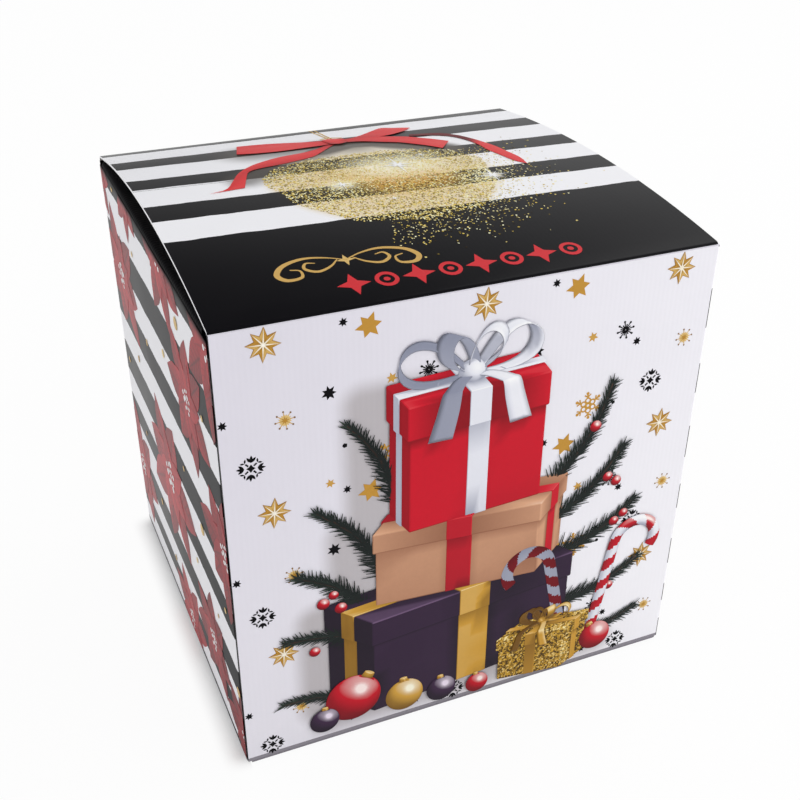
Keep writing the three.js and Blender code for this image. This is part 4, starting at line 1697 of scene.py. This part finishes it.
def rod(line: Sequence[Vector], radius: float, sides: int = 8) -> Mesh:
    """Makes a closed round rod along a line, tapered only by its round ends."""
    mesh = bmesh.new()
    made = bmesh.ops.create_circle(mesh, cap_ends=True, segments=sides, radius=radius)["verts"]
    face = made[0].link_faces[0]
    way = line[1] - line[0]
    bmesh.ops.transform(mesh, verts=made, matrix=move(line[0])
                        @ way.to_track_quat("Z", "Y").to_matrix().to_4x4())
    for before, here, after in zip(line, line[1:], (*line[2:], line[-1] * 2 - line[-2])):
        raised = bmesh.ops.extrude_face_region(mesh, geom=[face])["geom"]
        bmesh.ops.delete(mesh, geom=[face], context="FACES_ONLY")
        face = next(item for item in raised if isinstance(item, bmesh.types.BMFace))
        bmesh.ops.translate(mesh, verts=face.verts[:], vec=here - before)
        turn = way.rotation_difference(after - before).to_matrix()
        way = after - before
        bmesh.ops.rotate(mesh, verts=face.verts[:], cent=here, matrix=turn)
    bmesh.ops.recalc_face_normals(mesh, faces=mesh.faces[:])
    for face in mesh.faces:
        face.smooth = len(face.verts) == 4
    return mesh


class StillLife:
    """A printed picture: closed shapes, lit once for their tones, then pressed almost flat.

    Attributes:
        tilt: How far its things are seen from above, in radians.
        rise: How high its ground lies on the panel, in millimetres.
        scale: How much larger it is printed than it is built.
        base: How high it starts over the panel, in millimetres.
        press: The share of its depth that it keeps.
        light: Where its sun stands.
        reach: How far off a shape still shades another one.
        probes: How many rays feel for that.
    """

    tilt = 0.27
    rise = 29.0
    scale = 1.08
    base = 0.42
    press = 0.004
    light = Vector((0.52, 0.6, 0.62)).normalized()
    reach = 55.0
    probes = 10

    def __init__(self, panel: Panel) -> None:
        """Starts an empty picture on a panel."""
        self.panel = panel
        self.view = move((0, self.rise, 0)) @ Matrix.Scale(self.scale, 4) @ Matrix.Rotation(self.tilt, 4, "X")
        self.groups: dict[str, tuple[Mesh, list[PictureInk]]] = {}
        draw = random.Random(5)
        self.rays = [Vector([draw.gauss(0, 1) for _ in range(3)]).normalized() for _ in range(self.probes)]
        self.highlight = (self.light + Z_AXIS).normalized()

    def take(self, group: str, shape: Mesh, colour: PictureInk, place: Matrix) -> None:
        """Adds a shape to one of the picture's pieces.

        Args:
            group: The piece's name.
            shape: The shape, which is freed here.
            colour: Its ink.
            place: Where it goes in the picture.
        """
        bmesh.ops.transform(shape, matrix=self.view @ place, verts=shape.verts[:])
        mesh, inks = self.groups.setdefault(group, (bmesh.new(), []))
        if colour not in inks:
            inks.append(colour)
        for face in shape.faces:
            face.material_index = inks.index(colour)
        carrier = bpy.data.meshes.new("carrier")
        shape.to_mesh(carrier)
        shape.free()
        mesh.from_mesh(carrier)
        bpy.data.meshes.remove(carrier)

    def finish(self) -> None:
        """Lights the shapes, presses them onto the panel and hands each piece over."""
        corners, polygons = [], []
        for mesh, _ in self.groups.values():
            start = len(corners)
            mesh.verts.index_update()
            mesh.normal_update()
            corners += [vertex.co.copy() for vertex in mesh.verts]
            polygons += [[start + vertex.index for vertex in face.verts] for face in mesh.faces]
        tree = BVHTree.FromPolygons(corners, polygons)
        back = min(corner.z for corner in corners)
        for name, (mesh, inks) in self.groups.items():
            self.shade(mesh, inks, tree)
            for vertex in mesh.verts:
                vertex.co.z = self.base + (vertex.co.z - back) * self.press
            self.panel.settle(mesh)
            hand_over(name, mesh, [colour.material() for colour in inks], self.panel.body)

    def shade(self, mesh: Mesh, inks: Sequence[PictureInk], tree: BVHTree) -> None:
        """Writes each face corner's tone: the light it gets, and the highlight of its ink."""
        layer = mesh.loops.layers.float.new("tone")
        found: dict[tuple[int, tuple[float, ...]], float] = {}
        for face in mesh.faces:
            colour = inks[face.material_index]
            for loop in face.loops:
                normal = loop.vert.normal if face.smooth else face.normal
                key = (loop.vert.index, tuple(round(part, 2) for part in normal))
                if key not in found:
                    found[key] = self.tone(loop.vert.co, normal, colour, tree)
                loop[layer] = found[key]

    def tone(self, place: Vector, normal: Vector, colour: PictureInk, tree: BVHTree) -> float:
        """Returns the tone of one point, from its light, its shade and its highlight."""
        start = place + normal * 0.25
        free = 0.0
        for ray in self.rays:
            way = ray if ray.dot(normal) > 0 else -ray
            distance = tree.ray_cast(start, way, self.reach)[3]
            free += 1.0 if distance is None else min(distance / self.reach, 1.0)
        free /= self.probes
        sun = sum(tree.ray_cast(start, self.light + ray * 0.09)[0] is None for ray in self.rays[:5]) / 5
        facing = max(normal.dot(self.light), 0.0) * sun
        glint = max(normal.dot(self.highlight), 0.0) ** colour.polish * (0.35 + 0.65 * sun)
        soft = 0.16 + 0.12 * normal.y + 0.1 * max(normal.z, 0.0)
        return (soft * (0.3 + 0.7 * free) + 0.46 * facing * (0.6 + 0.4 * free)) + colour.shine * glint * 0.5


@dataclass
class FrontPicture:
    """The picture on the front: a stack of wrapped gifts among fir twigs, baubles and candy canes."""

    seed: int = 11
    stack: tuple[tuple[float, float, float, float, float, float], ...] = (
        (136, 72, 84, -12, -10, 0.34), (106, 52, 66, -2, -8, -0.24), (84, 82, 60, -6, -8, 0.2),
    )

    def build(self) -> None:
        """Builds the picture's things and prints them."""
        self.picture = StillLife(FRONT)
        self.draw = random.Random(self.seed)
        self.gifts()
        self.small_gift()
        self.twigs()
        self.baubles()
        self.canes()
        self.picture.finish()

    def gifts(self) -> None:
        """Stacks the three large gifts and ties a bow on the top one."""
        papers = ((PLUM_PAPER, GOLD_SATIN), (KRAFT_PAPER, RED_SATIN), (RED_PAPER, WHITE_SATIN))
        foot = 0.0
        for (width, height, depth, right, out, turn), (paper, ribbon) in zip(self.stack, papers):
            place = move((right, foot, out)) @ Matrix.Rotation(turn, 4, "Y")
            self.wrap(width, height, depth, paper, ribbon, place)
            foot += height
        self.bow(move((-6, foot + 1, -8)) @ Matrix.Rotation(0.2, 4, "Y"), 43, 18, 31,
                 WHITE_SATIN)

    def wrap(self, width: float, height: float, depth: float, paper: PictureInk, ribbon: PictureInk,
             place: Matrix) -> None:
        """Adds one gift: its box, its lid, and the ribbon that crosses it."""
        take = self.picture.take
        lid = height * 0.26
        band = width * 0.15
        take("front_picture_boxes", block(width - 3, height - 1, depth - 3), paper, place)
        lift = place @ move((0, height - lid, 0))
        take("front_picture_boxes", block(width, lid, depth), paper, lift)
        for wide, deep, less_wide, less_deep in ((band, depth + 1.6, 0, 3), (width + 1.6, band, 3, 0)):
            take("front_picture_ribbons", block(wide, lid + 0.8, deep, 5, 0.4), ribbon, lift)
            low = block(wide - less_wide, height - lid, deep - less_deep, 5, 0.4)
            take("front_picture_ribbons", low, ribbon, place)

    def bow(self, place: Matrix, reach: float, width: float, edge: float, ribbon: PictureInk) -> None:
        """Adds a bow: four loops, the knot, and two tails over the gift's front edge.

        Args:
            place: Where it stands and how it is turned.
            reach: The length of its long loops.
            width: The ribbon's width.
            edge: How far in front of it the gift's edge is.
            ribbon: Its ink.
        """
        group = "front_picture_bows"
        for side in (-1, 1):
            for lean, length, swing in ((0.34, reach, 0.25), (0.95, reach * 0.72, -0.35)):
                rows = []
                for step in range(33):
                    turn = 2 * pi * step / 32
                    fat = sin(turn / 2)
                    wide = length * 0.34 * sin(turn) * fat
                    middle = Vector((length * (1 - cos(turn)) / 2, wide, length * 0.06 * sin(turn * 2)))
                    half = Vector((0, 0, width * (0.32 + 0.68 * fat) / 2))
                    rows.append((middle - half, middle + half))
                self.picture.take(group, swept(rows), ribbon, place @ Matrix.Scale(side, 4, X_AXIS)
                                  @ Matrix.Rotation(swing, 4, "Y") @ Matrix.Rotation(lean, 4, "Z")
                                  @ move((0, 2, 0)))
            line = smooth_line(((0, 3, 2), (reach * 0.2, 3.4, edge * 0.45), (reach * 0.36, 2.2, edge * 0.9),
                                (reach * 0.41, 0.6, edge + 1.6), (reach * 0.46, -reach * 0.22, edge + 2.4),
                                (reach * 0.56, -reach * 0.6, edge + 2.8)), 6)
            rows = []
            for step, middle in enumerate(line):
                share = step / (len(line) - 1)
                half = Vector((width * (0.36 + 0.4 * share) / 2, 0, -width * 0.1))
                rows.append((middle - half, middle + half))
            self.picture.take(group, swept(rows), ribbon, place @ Matrix.Scale(side, 4, X_AXIS))
        self.picture.take(group, ball(width * 0.5, 20, 12), ribbon,
                          place @ move((0, 3, 2)) @ Matrix.Diagonal((0.9, 0.9, 1.1, 1)))

    def small_gift(self) -> None:
        """Adds the small glitter gift in front and its bow."""
        place = move((50, 0, 62)) @ Matrix.Rotation(-0.42, 4, "Y")
        self.wrap(52, 34, 42, GLITTER_PAPER, GOLD_SATIN, place)
        self.bow(place @ move((0, 35, 0)), 20, 8, 21, GOLD_SATIN)

    def baubles(self) -> None:
        """Sets the baubles on the ground, each with its cap."""
        for right, radius, out, colour in ((-74, 17, 52, RED_GLASS), (-42, 12, 70, GOLD_GLASS),
                                           (-92, 9, 66, PLUM_GLASS), (-18, 9.5, 76, PLUM_GLASS),
                                           (88, 11, 60, RED_GLASS), (6, 7.5, 84, RED_GLASS)):
            stand = move((right, radius, out)) @ Matrix.Rotation(
                self.draw.uniform(-0.7, 0.7), 4, "Z")
            self.picture.take("front_picture_baubles", ball(radius, 36, 24), colour, stand)
            cap = bmesh.new()
            bmesh.ops.create_cone(cap, cap_ends=True, segments=16, radius1=radius * 0.24,
                                  radius2=radius * 0.2, depth=radius * 0.26)
            bevel_sharp(cap, radius * 0.03)
            self.picture.take("front_picture_baubles", cap, GOLD_SATIN, stand @ move(
                (0, radius * 1.06, 0)) @ Matrix.Rotation(-pi / 2, 4, "X"))

    def twigs(self) -> None:
        """Fans fir twigs out behind and beside the gifts, with red berries among them."""
        fans = (
            ((-62, 60, -20), (-104, 104, 0), 15), ((-54, 84, -24), (-92, 142, -8), 14),
            ((-60, 40, -10), (-112, 62, 10), 14), ((48, 92, -22), (92, 140, -6), 15),
            ((54, 66, -20), (104, 100, 0), 15), ((46, 118, -26), (80, 182, -14), 13),
            ((56, 30, -6), (112, 56, 12), 14), ((-48, 132, -26), (-74, 190, -18), 12),
            ((66, 6, 20), (116, 22, 40), 12), ((-70, 6, 20), (-116, 24, 40), 12),
        )
        for start, end, needle in fans:
            self.twig(Vector(start), Vector(end), needle)
        for right, up, out in ((-84, 88, 8), (-90, 84, 10), (-80, 78, 10), (84, 122, 4), (90, 118, 6),
                               (92, 88, 8), (98, 92, 6), (94, 40, 20), (-96, 52, 16), (72, 158, -4)):
            self.picture.take("front_picture_berries", ball(self.draw.uniform(3, 3.8), 14, 10), RED_GLASS,
                              move((right, up, out)))

    def twig(self, start: Vector, end: Vector, needle: float) -> None:
        """Adds one fir twig: its stem and three rows of needles."""
        run = end - start
        side = run.cross(Z_AXIS).normalized()
        line = [start + run * t + side * (sin(t * pi) * run.length * 0.08)
                for t in (step / 12 for step in range(13))]
        self.picture.take("front_picture_twigs", rod(line, 0.9, 6), FIR_STEM, Matrix.Identity(4))
        count = int(run.length * 2.1)
        spikes = bmesh.new()
        for step in range(count):
            share = (step + 0.5) / count
            foot = point_along(line, share)
            lean = (-1, 1, 0.15, -0.5, 0.5)[step % 5] * self.draw.uniform(0.7, 1.1)
            way = (run.normalized() * 0.9 + side * lean * 0.85
                   + Z_AXIS * self.draw.uniform(-0.1, 0.5)).normalized()
            length = needle * (1.0 - 0.45 * share) * self.draw.uniform(0.75, 1.1)
            bmesh.ops.create_cone(spikes, cap_ends=True, segments=4, radius1=0.75, radius2=0.16, depth=length,
                                  matrix=move(foot + way * length / 2)
                                  @ way.to_track_quat("Z", "Y").to_matrix().to_4x4())
        self.picture.take("front_picture_twigs", spikes, FIR_NEEDLE, Matrix.Identity(4))

    def canes(self) -> None:
        """Leans two candy canes on the gifts, striped round and round."""
        for right, out, turn, flip in ((82, 34, -0.16, 1), (66, 40, 0.2, -1)):
            line = [Vector((0, step * 1.0, 0)) for step in range(81)]
            line += [Vector((14 - 14 * cos(angle), 80 + 14 * sin(angle), 0))
                     for angle in (pi * step / 44 for step in range(1, 51))]
            cane = rod(line, 3.9, 32)
            place = (move((right, 0, out)) @ Matrix.Rotation(turn, 4, "Z")
                     @ Matrix.Scale(flip, 4, X_AXIS))
            stripes = self.stripe(cane, line)
            for shape, colour in zip(stripes, (WHITE_SATIN, RED_GLASS)):
                self.picture.take("front_picture_canes", shape, colour, place)

    def stripe(self, cane: Mesh,
               line: Sequence[Vector]) -> tuple[Mesh, Mesh]:
        """Parts a cane, which runs along a line, into its white and its red turns."""
        tree = KDTree(len(line))
        for index, place in enumerate(line):
            tree.insert(place, index)
        tree.balance()
        red = cane.copy()
        for mesh, wanted in ((cane, 0), (red, 1)):
            away = []
            for face in mesh.faces:
                middle = face.calc_center_median()
                place, index, _ = tree.find(middle)
                way = line[min(index + 1, len(line) - 1)] - line[max(index - 1, 0)]
                side = way.normalized().cross(Z_AXIS)
                around = atan2((middle - place).z, (middle - place).dot(side)) / (2 * pi)
                if ((index / 16 + around) % 1.0 < 0.5) != bool(wanted):
                    away.append(face)
            bmesh.ops.delete(mesh, geom=away, context="FACES")
        return cane, red


@dataclass
class GiftCartons:
    """The twenty-four gift cartons: their finishes and their numbers."""

    count: int = 24
    columns: int = 4
    gap: float = 0.6
    figure_height: float = 27.0

    def __post_init__(self) -> None:
        """Reads the cartons' places from the frame."""
        self.boxes = {number: [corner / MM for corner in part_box(f"gift_carton_{number:02d}")]
                      for number in range(1, self.count + 1)}

    def finish_of(self, number: int) -> int:
        """Returns which of the three finishes a carton has."""
        place = (number - 1) % (self.count // 2)
        layer = 1 if number <= self.count // 2 else 0
        return (place // self.columns + place % self.columns + layer) % 3

    def build(self) -> None:
        """Dresses the cartons and prints each one's number in a wreath of leaves."""
        low, high = self.boxes[self.count // 2 + self.columns * 2 + 1]
        above = self.boxes[self.columns * 2 + 1][0]
        size = high - low
        pitch = Vector((size.x + self.gap, size.y + self.gap, above.z - low.z))
        colours = (PAPER, ink(24, 23, 27), ink(176, 28, 42))
        materials = [CartonFinish(name, colour, pitch, low, size).material()
                     for name, colour in zip(("carton_white", "carton_black", "carton_red"), colours)]
        for number in self.boxes:
            dress([f"gift_carton_{number:02d}"], materials[self.finish_of(number)])
        for label, numbers in (("top", range(1, 13)), ("bottom", range(13, 25))):
            self.print_numbers(label, numbers)

    def print_numbers(self, label: str, numbers: range) -> None:
        """Prints the numbers of one layer of cartons on their tops."""
        top = self.boxes[numbers[0]][1].z
        panel = Panel("case", "carton_white", Vector((0, 0, top)), X_AXIS, Y_AXIS)
        layer = PrintLayer(f"carton_numbers_{label}", panel, GOLD_INK, BLACK_INK)
        for number in numbers:
            low, high = self.boxes[number]
            middle = (low + high) / 2
            colour = 1 if self.finish_of(number) == 0 else 0
            layer.at(middle.x, middle.y)
            write_number(layer, number, self.figure_height, colour)
            self.wreath(layer, middle.x, middle.y)
        layer.finish()

    def wreath(self, layer: PrintLayer, x: float, y: float, reach: float = 27.0, leaves: int = 22) -> None:
        """Prints a thin ring of small gold leaves."""
        for step in range(leaves):
            angle = 2 * pi * step / leaves
            layer.at(x + cos(angle) * reach, y + sin(angle) * reach,
                     angle + (0.6 if step % 2 else -0.6))
            layer.leaf(6.4, 2.6, 0.55, 0)


def write_number(layer: PrintLayer, number: int, height: float, colour: int) -> None:
    """Prints a plain number, centred on the layer's stand.

    Args:
        layer: The layer that takes it.
        number: The number.
        height: The height of its figures.
        colour: The number of its ink.
    """
    text = bpy.data.curves.new("figures", "FONT")
    text.body = str(number)
    text.size = height / 0.7
    text.align_x = "CENTER"
    text.align_y = "CENTER"
    text.resolution_u = 4
    holder = bpy.data.objects.new("figures", text)
    bpy.context.scene.collection.objects.link(holder)
    flat = bpy.data.meshes.new_from_object(holder.evaluated_get(bpy.context.evaluated_depsgraph_get()))
    layer.start_shape()
    corners = [layer.point(vertex.co, 0.5) for vertex in flat.vertices]
    for polygon in flat.polygons:
        face = layer.mesh.faces.new([corners[index] for index in polygon.vertices])
        face.material_index = colour
    bpy.data.objects.remove(holder)
    bpy.data.meshes.remove(flat)
    bpy.data.curves.remove(text)


@dataclass
class Studio:
    """The camera, the light, and the white floor that the object stands on."""

    camera_place: tuple[float, float, float] = (-0.25729, -0.63391, 0.55802)
    camera_turn: tuple[float, float, float] = (57.4076, -0.7105, -23.5497)
    lens: float = 51.98
    sensor: float = 36.0
    shift: Point = (-0.0236, 0.05)
    floor_size: float = 14.0
    shadow_reach: float = 16.0
    sky: float = 0.93
    dark_above: Point = (0.75, 0.3)

    def hang(self, name: str, data: bpy.types.ID, place: Sequence[float],
             turn: Sequence[float]) -> bpy.types.Object:
        """Puts the camera or a lamp into the scene."""
        holder = bpy.data.objects.new(name, data)
        holder.location = place
        holder.rotation_euler = turn
        bpy.context.scene.collection.objects.link(holder)
        return holder

    def camera(self) -> None:
        """Sets up the camera at the photograph's place."""
        data = bpy.data.cameras.new("camera")
        data.lens = self.lens
        data.sensor_width = self.sensor
        data.shift_x, data.shift_y = self.shift
        data.clip_start = 0.01
        turn = [radians(angle) for angle in self.camera_turn]
        bpy.context.scene.camera = self.hang("camera", data, self.camera_place, turn)

    def floor(self) -> None:
        """Lays a white floor that keeps a pale shadow, deepened in a band beside the left wall whose place is
        painted.
        """
        material, graph = new_graph("studio_floor")
        matt = graph.node("ShaderNodeBsdfDiffuse", {"Color": WHITE})
        glow = graph.node("ShaderNodeEmission", {"Strength": 1.0})
        x, y, _ = graph.place()
        # Painted shadow placement: the floor's white glow thins only in a band beside the left wall, where
        # its rendered shade then shows.
        gap = x * -1.0 - HALF_WIDTH
        beside = gap.rise(self.shadow_reach, -4.0) * (gap > -2.0)
        beside = beside * abs(y).rise(HALF_DEPTH + 6.0, HALF_DEPTH - 12.0)
        rays = graph.node("ShaderNodeLightPath")
        camera, glossy, clear = (Signal(graph, rays.outputs[name]) for name in (
            "Is Camera Ray", "Is Glossy Ray", "Is Transmission Ray"))
        seen = camera.most(glossy).most(clear) * (0.94 - beside * 0.9)
        join = graph.node("ShaderNodeMixShader", {0: seen, 1: matt.outputs[0], 2: glow.outputs[0]})
        graph.node("ShaderNodeOutputMaterial", {"Surface": join.outputs[0]})
        mesh = bmesh.new()
        bmesh.ops.create_grid(mesh, x_segments=1, y_segments=1, size=self.floor_size)
        piece = new_piece("studio_floor", mesh, [material])

    def world(self) -> None:
        """Sets a plain sky, white to the camera and softer and darker overhead as a light."""
        world = bpy.data.worlds.new("studio")
        bpy.context.scene.world = world
        world.use_nodes = True
        world.node_tree.nodes.clear()
        graph = Graph(world.node_tree)
        way = graph.node("ShaderNodeTexCoord").outputs["Generated"]
        right, _, height = graph.signals(graph.node("ShaderNodeSeparateXYZ", {0: way}))
        mirrored = height.rise(*self.dark_above) * (right.rise(0.05, 0.6) * 0.7 + 0.36) + 0.03
        light, dim, white = (graph.node("ShaderNodeBackground", {"Strength": strength}).outputs[0]
                             for strength in (self.sky, mirrored, 1.0))
        white.node.inputs["Color"].default_value = WHITE
        rays = graph.node("ShaderNodeLightPath")
        for ray, other in (("Is Glossy Ray", dim), ("Is Camera Ray", white), ("Is Transmission Ray", white)):
            light = graph.node("ShaderNodeMixShader", {0: rays.outputs[ray], 1: light, 2: other}).outputs[0]
        graph.node("ShaderNodeOutputWorld", {"Surface": light})

    def lamp(self, name: str, place: tuple[float, float, float], size: float, power: float) -> None:
        """Hangs a soft lamp that points at the object's middle."""
        data = bpy.data.lights.new(name, "AREA")
        data.shape = "DISK"
        data.size = size
        data.energy = power
        aim = Vector((0, 0, 0.15)) - Vector(place)
        self.hang(name, data, place, aim.to_track_quat("-Z", "Y").to_euler())

    def set_up(self) -> None:
        """Builds the whole studio."""
        self.camera()
        self.world()
        self.floor()
        self.lamp("key_lamp", (1.5, 0.5, 1.9), 1.6, 8.0)
        self.lamp("front_lamp", (1.5, -1.6, 1.0), 1.4, 12.5)
        bpy.context.scene.view_settings.view_transform = "Standard"


def main() -> None:
    """Builds the studio, then dresses and prints the calendar."""
    logging.basicConfig(level=logging.INFO, format="%(message)s")
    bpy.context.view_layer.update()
    Studio().set_up()
    Board().dress_all()
    Creases().build()
    FrontPattern().build()
    FrontPicture().build()
    Poinsettias(Wall.LEFT).build()
    Poinsettias(Wall.RIGHT, mirrored=True).build()
    Poinsettias(Wall.BACK).build()
    LidArt().build()
    GiftCartons().build()


if __name__ == "__main__":
    main()
